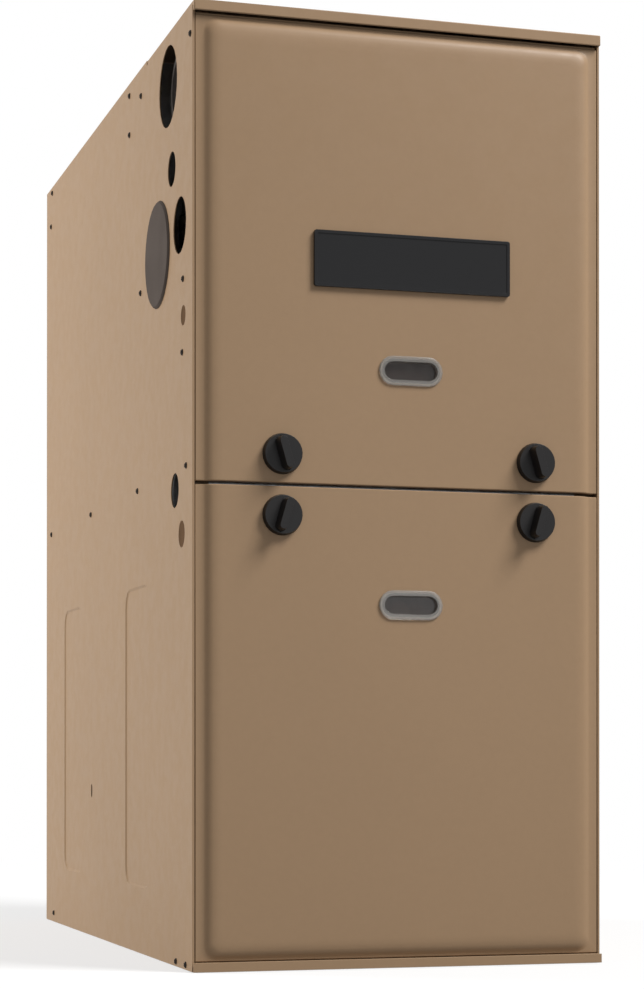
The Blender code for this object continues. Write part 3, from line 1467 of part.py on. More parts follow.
def blower_motor():
    middle = ((MOTOR_LEFT + MOTOR_RIGHT) / 2, BLOWER_Y, BLOWER_Z)
    length = MOTOR_RIGHT - MOTOR_LEFT
    motor = rod("blower_motor", middle, MOTOR_RADIUS, length, "side", 24)
    soften(motor, 0.006)
    boss = rod("boss", (MOTOR_RIGHT, BLOWER_Y, BLOWER_Z), 0.014, 0.010, "side", 16)
    tail = rod("tail", (MOTOR_LEFT, BLOWER_Y, BLOWER_Z), 0.014, 0.008, "side", 16)
    fuse(motor, boss, tail)
    bore = rod("shaft_bore", (MOTOR_RIGHT, BLOWER_Y, BLOWER_Z), BLOWER_SHAFT + GAP, 0.030, "side", 14)
    cut(motor, bore)
    slots = []
    for n in range(8):
        angle = 2 * math.pi * n / 8
        y = BLOWER_Y + 0.045 * math.cos(angle)
        z = BLOWER_Z + 0.045 * math.sin(angle)
        slots.append(rod("vent", (MOTOR_LEFT, y, z), 0.006, 0.012, "side", 8))
    cut(motor, group("motor_vents", slots))
    return finish(motor, "black_steel")


def motor_mount():
    """A belly band round the motor with three arms that bolt to the housing's side."""
    band_x = -HOUSING_WIDTH / 2 - 0.012
    inner = MOTOR_RADIUS + GAP
    outer = inner + BAND_THICK
    loops = [circle(BLOWER_Y, BLOWER_Z, outer, 32), circle(BLOWER_Y, BLOWER_Z, inner, 32)]
    band = plate("motor_mount", loops, "side", band_x - BAND_WIDTH / 2, band_x + BAND_WIDTH / 2)
    wall = -HOUSING_WIDTH / 2 - GAP
    reach = INLET_RADIUS + 0.014
    for n in range(3):
        angle = math.radians(90 + 120 * n + 30)
        points = []
        for radius, x in ((outer - 0.001, band_x), (reach, band_x), (reach, wall)):
            points.append((x, BLOWER_Y + radius * math.cos(angle), BLOWER_Z + radius * math.sin(angle)))
        fuse(band, tube("arm", rounded_path(points, 0.006, 3), MOTOR_ARM_RADIUS, 8))
    return finish(band, "galvanised")


# Controls


def control_bracket():
    y = FRONT + CONTROL_FROM_FRONT
    high = DECK_UNDER - GAP
    path = [(y, CONTROL_LOW), (y, high - SHEET), (y + 0.030, high - SHEET)]
    made = plate("control_bracket", [folded(path, SHEET)], "side", CONTROL_LEFT, CONTROL_RIGHT)
    return finish(made, "galvanised")


def control_board():
    bracket = FRONT + CONTROL_FROM_FRONT - SHEET - GAP
    back = bracket - STANDOFF
    front = back - BOARD_THICK
    half = BOARD_WIDTH / 2
    tall = BOARD_HEIGHT / 2
    x = BOARD_CENTRE_X
    z = BOARD_CENTRE_Z
    board = box("control_board", (x - half, front, z - tall), (x + half, back, z + tall))
    for side in (-1, 1):
        for rise in (-1, 1):
            place = (x + side * (half - 0.008), (back + bracket) / 2 - 0.0004, z + rise * (tall - 0.008))
            fuse(board, rod("standoff", place, 0.003, STANDOFF + 0.0008, "front", 8))
    parts = [
        (-0.052, 0.030, 0.022, 0.026, 0.016),
        (-0.022, 0.030, 0.022, 0.026, 0.016),
        (0.008, 0.032, 0.020, 0.022, 0.014),
        (0.050, 0.036, 0.038, 0.010, 0.012),
        (-0.050, -0.008, 0.016, 0.016, 0.006),
        (-0.012, -0.006, 0.030, 0.012, 0.005),
        (0.034, 0.006, 0.014, 0.014, 0.008),
        (0.062, 0.000, 0.012, 0.040, 0.010),
        (-0.030, -0.042, 0.060, 0.012, 0.011),
        (0.036, -0.042, 0.044, 0.012, 0.009),
        (0.010, -0.024, 0.018, 0.008, 0.004),
    ]
    blocks = []
    for u, v, width, height, rise in parts:
        low = (x + u - width / 2, front - rise, z + v - height / 2)
        high = (x + u + width / 2, front + BOARD_THICK / 2, z + v + height / 2)
        blocks.append(box("block", low, high))
    fuse(board, group("board_blocks", blocks))
    cans = [
        rod("can", (x + u, front - 0.007, z + v), radius, 0.015, "front", 12)
        for u, v, radius in ((0.030, 0.022, 0.005), (-0.030, 0.006, 0.004), (0.046, -0.018, 0.005))
    ]
    fuse(board, group("board_cans", cans))
    return finish(board, "board_green")


def transformer():
    back = FRONT + CONTROL_FROM_FRONT - SHEET - GAP
    x = CONTROL_RIGHT - 0.032
    z = BOARD_CENTRE_Z - 0.010
    core = box("transformer", (x - 0.026, back - 0.030, z - 0.024), (x + 0.026, back - 0.006, z + 0.024))
    coil = box("coil", (x - 0.016, back - 0.040, z - 0.014), (x + 0.016, back - 0.002, z + 0.014))
    soften(coil, 0.003)
    foot = box("foot", (x - 0.030, back - 0.0065, z - 0.030), (x + 0.030, back, z + 0.030))
    return finish(fuse(core, coil, foot), "black_steel")


def run_capacitor():
    back = FRONT + CONTROL_FROM_FRONT - SHEET - GAP
    x = CONTROL_LEFT + 0.020
    loop = obround(x, back - 0.0155, 0.036, 0.031, 6)
    low = BOARD_CENTRE_Z - 0.050
    can = plate("run_capacitor", [loop], "top", low, low + 0.070)
    lid = box("terminals", (x - 0.010, back - 0.0175, low + 0.069), (x + 0.010, back - 0.0155, low + 0.078))
    return finish(fuse(can, lid), "cast_grey")


def junction_box():
    """A sheet box behind the wire hole, open towards that hole and towards the doors."""
    wall = LEFT + SHEET + GAP
    y = FRONT + WIRE_HOLE[0]
    near = y - JUNCTION_DEPTH / 2
    far = y + JUNCTION_DEPTH / 2
    high = DECK_UNDER - GAP
    low = WIRE_HOLE[1] - JUNCTION_HEIGHT / 2 - 0.010
    made = box("junction_box", (wall, near, low), (wall + JUNCTION_WIDTH, far, high))
    hollow = box(
        "box_inside",
        (wall + SHEET, near + SHEET, low + SHEET),
        (wall + JUNCTION_WIDTH - SHEET, far - SHEET, high - SHEET),
    )
    mouth = side_hole(WIRE_HOLE, -1, 0.01, 20)
    service = box(
        "service_face",
        (wall + 0.010, near - 0.01, low + 0.008),
        (wall + JUNCTION_WIDTH - 0.006, near + 0.005, low + 0.030),
    )
    return finish(cut(made, hollow, mouth, service), "galvanised")


def door_switch():
    """The interlock switch under the mid rail. The lower door holds its plunger in."""
    high = MID_RAIL_LOW - GAP
    low = high - DOOR_SWITCH_HEIGHT
    half = DOOR_SWITCH_WIDTH / 2
    front = RAIL_FACE + 0.004
    back = FRONT + DOOR_SWITCH_BACK
    body = box("door_switch", (DOOR_SWITCH_X - half, front, low), (DOOR_SWITCH_X + half, back, high))
    soften(body, 0.001)
    middle = (low + high) / 2
    bore = rod("plunger_bore", (DOOR_SWITCH_X, front, middle), PLUNGER_RADIUS + GAP, 0.024, "front", 12)
    return finish(cut(body, bore), "black_plastic")


def door_switch_plunger():
    middle = MID_RAIL_LOW - GAP - DOOR_SWITCH_HEIGHT / 2
    tip = FIELD_FACE + SHEET + GAP
    end = RAIL_FACE + 0.004 + 0.010
    place = (DOOR_SWITCH_X, (tip + end) / 2, middle)
    made = rod("door_switch_plunger", place, PLUNGER_RADIUS, end - tip, "front", 12)
    soften(made, 0.0008)
    return finish(made, "white_plastic")


def build():
    clear_scene()
    collection_named(COLLECTION)
    left_side_panel()
    right_side_panel()
    back_panel()
    top_front_plate()
    bottom_rail()
    base_pan()
    bottom_closure()
    mid_rail()
    blower_deck()
    vestibule_panel()
    vent_plug(-1, "left_vent_plug")
    vent_plug(1, "right_vent_plug")

    upper = SEAM_HEIGHT + KNOB_FROM_SEAM
    lower = SEAM_HEIGHT - KNOB_FROM_SEAM
    upper_lining = (SEAM_HEIGHT + INSULATION_FROM_SEAM, DOOR_TOP - INSULATION_INSET)
    lower_lining = (LOWER_DOOR_LOW + INSULATION_INSET, SEAM_HEIGHT - INSULATION_FROM_SEAM)
    upper_door = fitted_door("upper_door", UPPER_DOOR_LOW, DOOR_TOP, True, UPPER_WINDOW_HEIGHT, upper)
    lower_door = fitted_door("lower_door", LOWER_DOOR_LOW, LOWER_DOOR_HIGH, False, LOWER_WINDOW_HEIGHT, lower)
    carry(
        upper_door,
        badge(),
        sight_window("upper_sight_window", UPPER_WINDOW_HEIGHT),
        door_insulation("upper_door_insulation", *upper_lining, UPPER_WINDOW_HEIGHT),
        door_knob("upper_left_knob", KNOB_XS[0], upper, -KNOB_TILT),
        door_knob("upper_right_knob", KNOB_XS[1], upper, -KNOB_TILT),
    )
    carry(
        lower_door,
        sight_window("lower_sight_window", LOWER_WINDOW_HEIGHT),
        door_insulation("lower_door_insulation", *lower_lining, LOWER_WINDOW_HEIGHT),
        door_knob("lower_left_knob", KNOB_XS[0], lower, KNOB_TILT),
        door_knob("lower_right_knob", KNOB_XS[1], lower, KNOB_TILT),
    )

    burner_box()
    for n, x in enumerate(BURNER_XS, 1):
        burner(f"burner_{n}", x)
        exchanger_tube(f"heat_exchanger_tube_{n}", x)
    gas_manifold()
    gas_valve()
    valve_knob()
    igniter()
    flame_sensor()
    rollout_switch()
    rollout_button()
    limit_switch()
    rear_header()
    secondary_coil()
    condensate_header()
    condensate_trap()
    inducer_housing()
    inducer_wheel()
    inducer_motor()
    vent_pipe()
    pressure_switch()
    pressure_hose()

    blower_housing()
    blower_wheel()
    blower_motor()
    motor_mount()
    control_bracket()
    control_board()
    transformer()
    run_capacitor()
    junction_box()
    door_switch()
    door_switch_plunger()


build()
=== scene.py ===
"""Upflow gas furnace: finishes, fasteners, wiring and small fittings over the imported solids.

The solids come from the frame and keep their places. Each operator below adds one group of
pieces or finishes, in the frame's own axes: +Z up and the doors towards -Y. Sizes are in
metres, apart from turned profiles, wire routes and the board's parts, which are in millimetres.
"""

import json
import math

import bmesh
import bpy
from bpy.props import FloatProperty, FloatVectorProperty, IntProperty, PointerProperty
from mathutils import Matrix, Vector


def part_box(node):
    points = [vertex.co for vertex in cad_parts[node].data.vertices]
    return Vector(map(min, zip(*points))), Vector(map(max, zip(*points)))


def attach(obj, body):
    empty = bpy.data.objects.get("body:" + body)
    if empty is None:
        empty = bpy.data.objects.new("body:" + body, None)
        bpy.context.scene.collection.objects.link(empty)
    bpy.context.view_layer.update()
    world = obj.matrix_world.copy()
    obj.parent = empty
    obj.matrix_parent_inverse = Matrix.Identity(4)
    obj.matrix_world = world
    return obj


bl_info = {
    "name": "Gas furnace",
    "version": (1, 0, 0),
    "blender": (4, 5, 0),
    "location": "3D View > Sidebar > Furnace",
    "description": "Finishes, fasteners and wiring for an upflow gas furnace",
    "category": "Object",
}

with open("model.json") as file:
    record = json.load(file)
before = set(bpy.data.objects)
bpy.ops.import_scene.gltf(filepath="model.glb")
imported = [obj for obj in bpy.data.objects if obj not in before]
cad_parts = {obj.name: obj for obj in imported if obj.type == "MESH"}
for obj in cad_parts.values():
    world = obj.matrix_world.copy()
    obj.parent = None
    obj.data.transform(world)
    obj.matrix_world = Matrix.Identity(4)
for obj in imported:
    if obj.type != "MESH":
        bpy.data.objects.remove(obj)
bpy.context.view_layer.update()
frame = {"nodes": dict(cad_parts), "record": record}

CABINET = "cabinet"
MM = 0.001
IDENTITY = Matrix.Identity(4)
UP = Vector((0, 0, 1))
RIGHT = Vector((1, 0, 0))
BACK = Vector((0, 1, 0))
FRONTWARD = -BACK


def low_corner(node):
    return Vector(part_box(node)[0])


def high_corner(node):
    return Vector(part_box(node)[1])


def centre_of(node):
    return (low_corner(node) + high_corner(node)) / 2


def front_of(node):
    """The middle of the node's front face."""
    middle = centre_of(node)
    middle.y = low_corner(node).y
    return middle


SIDE_LEFT = low_corner("left_side_panel").x
SIDE_RIGHT = high_corner("right_side_panel").x
FRONT = low_corner("left_side_panel").y
WINDOW_LIP = low_corner("upper_sight_window").y + 0.0022
VESTIBULE_FACE = high_corner("burner_box").y + 0.0003
DECK_BELOW = high_corner("blower_housing").z + 0.0003
DECK_FACE = DECK_BELOW + 0.0010


# Settings that a user would change


def colour_setting(name, description, default):
    return FloatVectorProperty(name=name, description=description, subtype="COLOR", size=3, default=default)


def length_setting(name, description, default):
    return FloatProperty(name=name, description=description, unit="LENGTH", default=default)


class FinishSettings(bpy.types.PropertyGroup):
    """Colours of the main finishes."""

    enamel: colour_setting("Enamel", "Baked enamel on the cabinet and doors", (0.315, 0.206, 0.120))
    knob_black: colour_setting("Knobs", "Moulded door knobs", (0.006, 0.005, 0.005))
    badge_black: colour_setting("Plate", "Bare plate on the upper door", (0.006, 0.006, 0.007))
    steel: colour_setting("Galvanised steel", "Inner sheet metal", (0.52, 0.53, 0.54))
    plug_grey: colour_setting("Plugs", "Plugs in unused holes", (0.088, 0.073, 0.064))
    vent_grey: colour_setting("Vent pipe", "Plastic vent pipe", (0.115, 0.100, 0.090))
    # the knock-out discs are dark brown; the cause of that colour is not known
    primer_brown: colour_setting("Knock-outs", "Primer on the knock-out discs", (0.110, 0.066, 0.038))


class FastenerSettings(bpy.types.PropertyGroup):
    """Sizes of the screws."""

    side_radius: length_setting("Side screws", "Head radius of the side screws", 0.0030)
    panel_radius: length_setting("Panel screws", "Head radius of the inner screws", 0.0042)
    corners: IntProperty(name="Head sides", description="Sides of a hexagonal head", default=6)


class WireSettings(bpy.types.PropertyGroup):
    """Sizes of the wiring."""

    wire_radius: length_setting("Wires", "Radius of an insulated wire", 0.0014)
    lead_radius: length_setting("Motor leads", "Radius of a motor lead", 0.0019)


class StageSettings(bpy.types.PropertyGroup):
    """The camera."""

    camera_place: FloatVectorProperty(
        name="Camera", description="Where the camera stands", subtype="TRANSLATION", size=3,
        default=(-0.659, -2.3765, 0.180),
    )
    camera_turn: FloatVectorProperty(
        name="Camera turn", description="The camera's rotation", subtype="EULER", size=3,
        default=(math.radians(90.32), 0.0, math.radians(-16.35)),
    )
    lens: FloatProperty(name="Lens", description="Focal length in millimetres", default=87.1)
    shift_x: FloatProperty(name="Shift across", description="Lens shift across", default=-0.003)
    shift_y: FloatProperty(name="Shift up", description="Lens shift up", default=0.258)


def settings(kind):
    return getattr(bpy.context.scene, "furnace_" + kind)


# Shader tools


def put(tree, made, key, value):
    socket = made.inputs[int(key)] if key.isdigit() else made.inputs[key]
    if isinstance(value, bpy.types.NodeSocket):
        tree.links.new(value, socket)
    else:
        socket.default_value = value


def add(tree, kind, settings=None, **values):
    """A node of that kind. settings are its own attributes and values its input sockets."""
    made = tree.nodes.new("ShaderNode" + kind)
    for key, value in (settings or {}).items():
        setattr(made, key, value)
    for key, value in values.items():
        put(tree, made, key.replace("_", " "), value)
    return made


def numbered(tree, kind, settings, *values):
    """A node whose input sockets are filled in their order."""
    made = add(tree, kind, settings)
    for key, value in enumerate(values):
        put(tree, made, str(key), value)
    return made


def math_step(tree, operation, first, second=0.5, clamp=False):
    return numbered(tree, "Math", {"operation": operation, "use_clamp": clamp}, first, second).outputs[0]


def vector_step(tree, operation, *values):
    return numbered(tree, "VectorMath", {"operation": operation}, *values)


def between(tree, value, start, end, low=0.0, high=1.0):
    """The value taken from one range to another, with a soft start and end."""
    return numbered(
        tree, "MapRange", {"interpolation_type": "SMOOTHSTEP"}, value, start, end, low, high
    ).outputs[0]


def swing(tree, value, depth):
    """A value from 0 to 1 as a swing about 0."""
    return math_step(tree, "MULTIPLY", math_step(tree, "SUBTRACT", value, 0.5), depth)


def mix_colour(tree, share, first, second):
    made = add(tree, "Mix", {"data_type": "RGBA"})
    for key, value in (("0", share), ("6", first), ("7", second)):
        put(tree, made, key, value)
    return made.outputs[2]


def blend_shaders(tree, share, first, second, end):
    """Mixes two shaders into the surface of the end node."""
    blend = numbered(tree, "MixShader", {}, share, first.outputs[0], second.outputs[0])
    tree.links.new(blend.outputs[0], tree.nodes[end].inputs["Surface"])


def object_place(tree):
    return tree.nodes.new("ShaderNodeTexCoord").outputs["Object"]


def noise(tree, scale, detail=4.0, roughness=0.55, stretch=None):
    """Noise in the piece's own metres. stretch squeezes it along each axis."""
    place = object_place(tree)
    if stretch:
        place = vector_step(tree, "MULTIPLY", place, stretch).outputs[0]
    return add(tree, "TexNoise", Vector=place, Scale=scale, Detail=detail, Roughness=roughness).outputs[0]


# Effects that several finishes share. Each takes its group's inputs and gives its outputs.


def mottle(tree, given):
    """Slow changes of tone over a sheet, with finer specks in them."""
    slow = between(tree, noise(tree, given["Scale"], 3.0), 0.3, 0.7, -1.0, 1.0)
    fine_scale = math_step(tree, "MULTIPLY", given["Scale"], 40.0)
    fine = between(tree, noise(tree, fine_scale, 2.0), 0.3, 0.7, -1.0, 1.0)
    tone = math_step(tree, "MULTIPLY", slow, given["Depth"])
    specks = math_step(tree, "MULTIPLY", fine, given["Specks"])
    return [math_step(tree, "ADD", math_step(tree, "ADD", tone, specks), 1.0)]


def edge_wear(tree, given):
    """A mask on outside edges, broken up by grain, where a finish rubs through."""
    rounded = add(tree, "Bevel", {"samples": 4}, Radius=given["Width"]).outputs[0]
    plain = tree.nodes.new("ShaderNodeNewGeometry").outputs["Normal"]
    dot = vector_step(tree, "DOT_PRODUCT", rounded, plain).outputs["Value"]
    edge = between(tree, dot, 0.995, 0.80)
    broken = between(tree, noise(tree, given["Grain"], 4.0), 0.42, 0.62)
    return [math_step(tree, "MULTIPLY", math_step(tree, "MULTIPLY", edge, broken), given["Amount"], True)]


def dust(tree, given):
    """A mask on faces that look up, thicker in patches."""
    normal = tree.nodes.new("ShaderNodeNewGeometry").outputs["Normal"]
    facing_up = between(tree, numbered(tree, "SeparateXYZ", {}, normal).outputs["Z"], 0.35, 0.95)
    patches = between(tree, noise(tree, given["Scale"], 6.0, 0.65), 0.35, 0.75)
    return [math_step(tree, "MULTIPLY", math_step(tree, "MULTIPLY", facing_up, patches), given["Amount"], True)]


def spangle(tree, given):
    """The crystal pattern of hot-dip galvanised sheet."""
    bend = noise(tree, math_step(tree, "MULTIPLY", given["Scale"], 1.5), 2.0)
    small = math_step(tree, "MULTIPLY", bend, 0.006)
    wander = numbered(tree, "CombineXYZ", {}, small, small, small).outputs[0]
    place = vector_step(tree, "ADD", object_place(tree), wander).outputs[0]
    cells = add(tree, "TexVoronoi", Vector=place, Scale=given["Scale"])
    parts = numbered(tree, "SeparateColor", {}, cells.outputs["Color"])
    tone = math_step(tree, "ADD", swing(tree, parts.outputs[0], given["Depth"]), 1.0)
    return [tone, swing(tree, parts.outputs[1], given["Depth"])]


def peel(tree, given):
    """The height of sprayed paint or a moulded grain: two sizes of noise."""
    coarse = noise(tree, given["Scale"], 2.0)
    fine = noise(tree, math_step(tree, "MULTIPLY", given["Scale"], 6.0), 2.0)
    return [math_step(tree, "ADD", coarse, math_step(tree, "MULTIPLY", fine, given["Fine"]))]


def brushing(tree, given):
    """Fine lines along one axis, as rolled or drawn metal has."""
    lines = noise(tree, given["Scale"], 6.0, 0.7, (1.0, 0.04, 1.0))
    return [math_step(tree, "ADD", swing(tree, lines, given["Depth"]), 1.0), lines]


EFFECTS = {
    "mottle": (mottle, {"Scale": 20.0, "Depth": 0.1, "Specks": 0.05}, ("Tone",)),
    "edge_wear": (edge_wear, {"Width": 0.001, "Amount": 0.5, "Grain": 300.0}, ("Mask",)),
    "dust": (dust, {"Amount": 0.3, "Scale": 30.0}, ("Mask",)),
    "spangle": (spangle, {"Scale": 90.0, "Depth": 0.25}, ("Tone", "Gloss")),
    "peel": (peel, {"Scale": 400.0, "Fine": 0.4}, ("Height",)),
    "brushing": (brushing, {"Scale": 60.0, "Depth": 0.1}, ("Tone", "Height")),
}


def make_group(name):
    """A shader node group with named sockets, filled by its maker."""
    fill, inputs, outputs = EFFECTS[name]
    tree = bpy.data.node_groups.new(name, "ShaderNodeTree")
    for label, value in inputs.items():
        socket = tree.interface.new_socket(label, in_out="INPUT", socket_type="NodeSocketFloat")
        socket.default_value = value
    for label in outputs:
        tree.interface.new_socket(label, in_out="OUTPUT", socket_type="NodeSocketFloat")
    given = tree.nodes.new("NodeGroupInput").outputs
    result = tree.nodes.new("NodeGroupOutput").inputs
    for label, socket in zip(outputs, fill(tree, given)):
        tree.links.new(socket, result[label])
    return tree


def effect(tree, name, *values):
    """One of the shared node groups, with this material's values in the order of its inputs."""
    made = tree.nodes.new("ShaderNodeGroup")
    made.node_tree = bpy.data.node_groups.get(name) or make_group(name)
    for key, value in zip(EFFECTS[name][1], values):
        made.inputs[key].default_value = value
    return made.outputs


def blank_finish(name, colour, roughness, metallic=0.0, **constants):
    """A material with a Principled shader set to plain values, its tree and its shader."""
    made = bpy.data.materials.new(name)
    made.use_nodes = True
    shader = made.node_tree.nodes["Principled BSDF"]
    constants.update(Base_Color=(*colour, 1), Roughness=roughness, Metallic=metallic)
    for key, value in constants.items():
        shader.inputs[key.replace("_", " ")].default_value = value
    return made, made.node_tree, shader


def toned(tree, colour, tone):
    """A colour multiplied by a tone that changes over the surface."""
    scaled = vector_step(tree, "SCALE", colour)
    put(tree, scaled, "Scale", tone)
    return scaled.outputs[0]


def bumped(tree, shader, height, distance, strength):
    bump = add(tree, "Bump", Height=height, Distance=distance, Strength=strength)
    tree.links.new(bump.outputs[0], shader.inputs["Normal"])


# Finishes


def layered(name, colour, roughness, metallic=0.0, tone=None, wear=None, dirt=None, grain=None, lines=None,
            rough=None, **constants):
    """A finish in layers.

    tone is the mottle's values; wear and dirt are an effect's values and their colour; grain is the
    peel's values and lines the brushing's, each with a bump's distance and strength; rough is the
    scale of a noise and the roughness it swings between.
    """
    made, tree, shader = blank_finish(name, colour, roughness, metallic, **constants)
    if lines:
        drawn = effect(tree, "brushing", *lines[:2])
        bumped(tree, shader, drawn["Height"], *lines[2:])
    skin = toned(tree, colour, effect(tree, "mottle", *tone)["Tone"] if tone else drawn["Tone"])
    for kind, values in (("edge_wear", wear), ("dust", dirt)):
        if values:
            skin = mix_colour(tree, effect(tree, kind, *values[:-1])["Mask"], skin, (*values[-1], 1))
    put(tree, shader, "Base Color", skin)
    if grain:
        bumped(tree, shader, effect(tree, "peel", *grain[:2])["Height"], *grain[2:])
    if rough:
        put(tree, shader, "Roughness", between(tree, noise(tree, rough[0], 4.0), 0.3, 0.7, *rough[1:]))
    return made


HOUSE_DUST = (0.30, 0.27, 0.23)


def moulded(name, colour, roughness, scale=900.0, depth=0.00003, dusty=0.15, gloss=0.5):
    """Moulded plastic with a fine grain and a little dust."""
    return layered(
        name, colour, roughness, tone=(25.0, 0.06, 0.04), dirt=(dusty, 40.0, HOUSE_DUST),
        grain=(scale, 0.5, depth, 0.6), Specular_IOR_Level=gloss,
    )


def bright_metal(name, colour, roughness):
    """Plated or bare metal for small fittings."""
    return layered(name, colour, roughness, 1.0, (90.0, 0.10, 0.08), grain=(1500.0, 0.4, 0.00003, 0.5))


def galvanised_finish():
    colour = tuple(settings("finish").steel)
    made, tree, shader = blank_finish("galvanised_sheet", colour, 0.40, 0.9)
    crystals = effect(tree, "spangle", 150.0, 0.15)
    mask = effect(tree, "dust", 0.30, 25.0)["Mask"]
    skin = mix_colour(tree, mask, toned(tree, colour, crystals["Tone"]), (0.40, 0.37, 0.33, 1))
    put(tree, shader, "Base Color", skin)
    rough = math_step(tree, "ADD", math_step(tree, "MULTIPLY", crystals["Gloss"], 0.6), 0.40, True)
    put(tree, shader, "Roughness", rough)
    bumped(tree, shader, crystals["Tone"], 0.00002, 0.4)
    return made


def aluminised_finish():
    """Aluminised steel, dull and slightly yellowed by heat."""
    colour = (0.46, 0.45, 0.42)
    made, tree, shader = blank_finish("aluminised_steel", colour, 0.45, 0.9)
    tone = effect(tree, "mottle", 30.0, 0.10, 0.05)["Tone"]
    heat = between(tree, noise(tree, 14.0, 3.0), 0.48, 0.70, 0.0, 0.55)
    put(tree, shader, "Base Color", mix_colour(tree, heat, toned(tree, colour, tone), (0.34, 0.27, 0.19, 1)))
    bumped(tree, shader, effect(tree, "brushing", 120.0, 0.1)["Height"], 0.00003, 0.5)
    return made


def window_finish():
    """Clear plastic, a little smoky, paler on its rim and darker deeper in, where painted shade stands for the deep
    slot, with faint flow marks.
    """
    rim, shaded_cup = (0.62, 0.58, 0.53), (0.080, 0.052, 0.040)
    made, tree, shader = blank_finish("window_plastic", rim, 0.12, Transmission_Weight=0.75, IOR=1.49)
    # the deeper colour is painted shade of the dark slot behind the window's lip, set by depth behind the lip
    depth = numbered(tree, "SeparateXYZ", {}, object_place(tree)).outputs["Y"]
    inside = between(tree, depth, WINDOW_LIP, WINDOW_LIP + 0.002)
    put(tree, shader, "Base Color", mix_colour(tree, inside, (*rim, 1), (*shaded_cup, 1)))
    put(tree, shader, "Roughness", between(tree, noise(tree, 120.0, 3.0), 0.35, 0.75, 0.08, 0.22))
    return made


def foil_finish():
    """Foil-faced insulation: a crinkled metal skin."""
    colour = (0.66, 0.66, 0.65)
    made, tree, shader = blank_finish("insulation_foil", colour, 0.34, 0.85)
    creases = add(tree, "TexVoronoi", {"feature": "DISTANCE_TO_EDGE"}, Scale=70.0, Vector=object_place(tree))
    ridge = between(tree, creases.outputs["Distance"], 0.0, 0.12)
    put(tree, shader, "Base Color", toned(tree, colour, effect(tree, "mottle", 35.0, 0.08, 0.05)["Tone"]))
    wrinkle = math_step(tree, "ADD", math_step(tree, "MULTIPLY", ridge, 0.4), noise(tree, 160.0, 5.0))
    bumped(tree, shader, wrinkle, 0.0006, 0.7)
    return made


def board_finish():
    """A printed circuit board: green mask over paler tracks."""
    made, tree, shader = blank_finish("circuit_board", (0.02, 0.14, 0.05), 0.32, Coat_Weight=0.4)
    tracks = add(tree, "TexBrick", {"offset": 0.37, "squash": 0.6}, Vector=object_place(tree), Scale=260.0,
                 Mortar_Size=0.05).outputs["Fac"]
    mask = between(tree, tracks, 0.2, 0.8)
    put(tree, shader, "Base Color", mix_colour(tree, mask, (0.015, 0.115, 0.040, 1), (0.035, 0.200, 0.080, 1)))
    bumped(tree, shader, tracks, 0.00003, 0.5)
    return made


WIRE_COLOURS = {
    "red": (0.48, 0.020, 0.014),
    "yellow": (0.62, 0.42, 0.03),
    "white": (0.66, 0.65, 0.62),
    "black": (0.016, 0.016, 0.016),
    "blue": (0.02, 0.07, 0.34),
    "orange": (0.62, 0.17, 0.02),
    "brown": (0.13, 0.055, 0.022),
    "green": (0.02, 0.22, 0.05),
}


def make_finishes():
    """Every finish by name. The names on the left are the record's slots where there is one."""
    chosen = settings("finish")
    made = {
        "cabinet_paint": layered(
            "cabinet_enamel", tuple(chosen.enamel), 0.42, tone=(4.0, 0.012, 0.010),
            wear=(0.0004, 0.06, 260.0, (0.42, 0.33, 0.24)), dirt=(0.06, 18.0, (0.42, 0.36, 0.29)),
            grain=(700.0, 0.3, 0.00004, 0.5), rough=(60.0, 0.38, 0.46), Specular_IOR_Level=0.25,
        ),
        "galvanised": galvanised_finish(),
        "aluminised": aluminised_finish(),
        "black_plastic": moulded("black_moulding", tuple(chosen.knob_black), 0.42, gloss=0.35),
        "grey_plastic": moulded("grey_plug", tuple(chosen.plug_grey), 0.50, 700.0, gloss=0.0),
        # primer is only the record's slot name: the discs are dark brown, and the cause of that colour is not known
        "primer": moulded("knockout_dark_brown", tuple(chosen.primer_brown), 0.60, 700.0, gloss=0.0),
        "vent_grey": moulded("vent_plastic", tuple(chosen.vent_grey), 0.40, 500.0),
        "badge_black": layered(
            "bare_plate_black", tuple(chosen.badge_black), 0.34, lines=(300.0, 0.25, 0.00001, 0.3),
            Specular_IOR_Level=0.3,
        ),
        "clear_plastic": window_finish(),
        "insulation": foil_finish(),
        "stainless": layered(
            "stainless_steel", (0.60, 0.60, 0.59), 0.28, 1.0, lines=(180.0, 0.18, 0.00002, 0.5)
        ),
        "cast_grey": layered(
            "cast_metal", (0.36, 0.37, 0.38), 0.50, 0.8, (60.0, 0.08, 0.10),
            wear=(0.0012, 0.6, 400.0, (0.62, 0.62, 0.61)), grain=(1400.0, 0.6, 0.00006, 0.7),
        ),
        "black_steel": layered(
            "black_enamel", (0.022, 0.022, 0.022), 0.42, 0.2, (30.0, 0.15, 0.1),
            wear=(0.001, 0.5, 350.0, (0.30, 0.30, 0.30)), dirt=(0.35, 35.0, (0.20, 0.18, 0.16)),
            grain=(900.0, 0.3, 0.00004, 0.6),
        ),
        "ceramic": moulded("ceramic_body", (0.70, 0.66, 0.58), 0.60, 1200.0, 0.00004, 0.25),
        "board_green": board_finish(),
        "rubber": moulded("soft_rubber", (0.018, 0.018, 0.018), 0.62, 1000.0, 0.00005, 0.30),
        "red_plastic": moulded("red_moulding", (0.42, 0.020, 0.012), 0.38),
        "white_plastic": moulded("white_moulding", (0.72, 0.71, 0.67), 0.40),
        "dark_screw": moulded("dark_screw", (0.020, 0.014, 0.010), 0.50, 1500.0, gloss=0.3),
        "zinc": bright_metal("zinc_plate", (0.58, 0.57, 0.54), 0.30),
        "brass": bright_metal("brass_fitting", (0.60, 0.42, 0.15), 0.28),
        "relay_black": moulded("relay_case", (0.020, 0.020, 0.022), 0.35),
    }
    for name, colour in WIRE_COLOURS.items():
        made[name + "_wire"] = layered(
            name + "_wire", colour, 0.38, tone=(60.0, 0.08, 0.04), Coat_Weight=0.15
        )
    return made


FINISHES = {}


# Shape tools

SMOOTH_DEGREES = 35
ROUTE_STEPS = 6


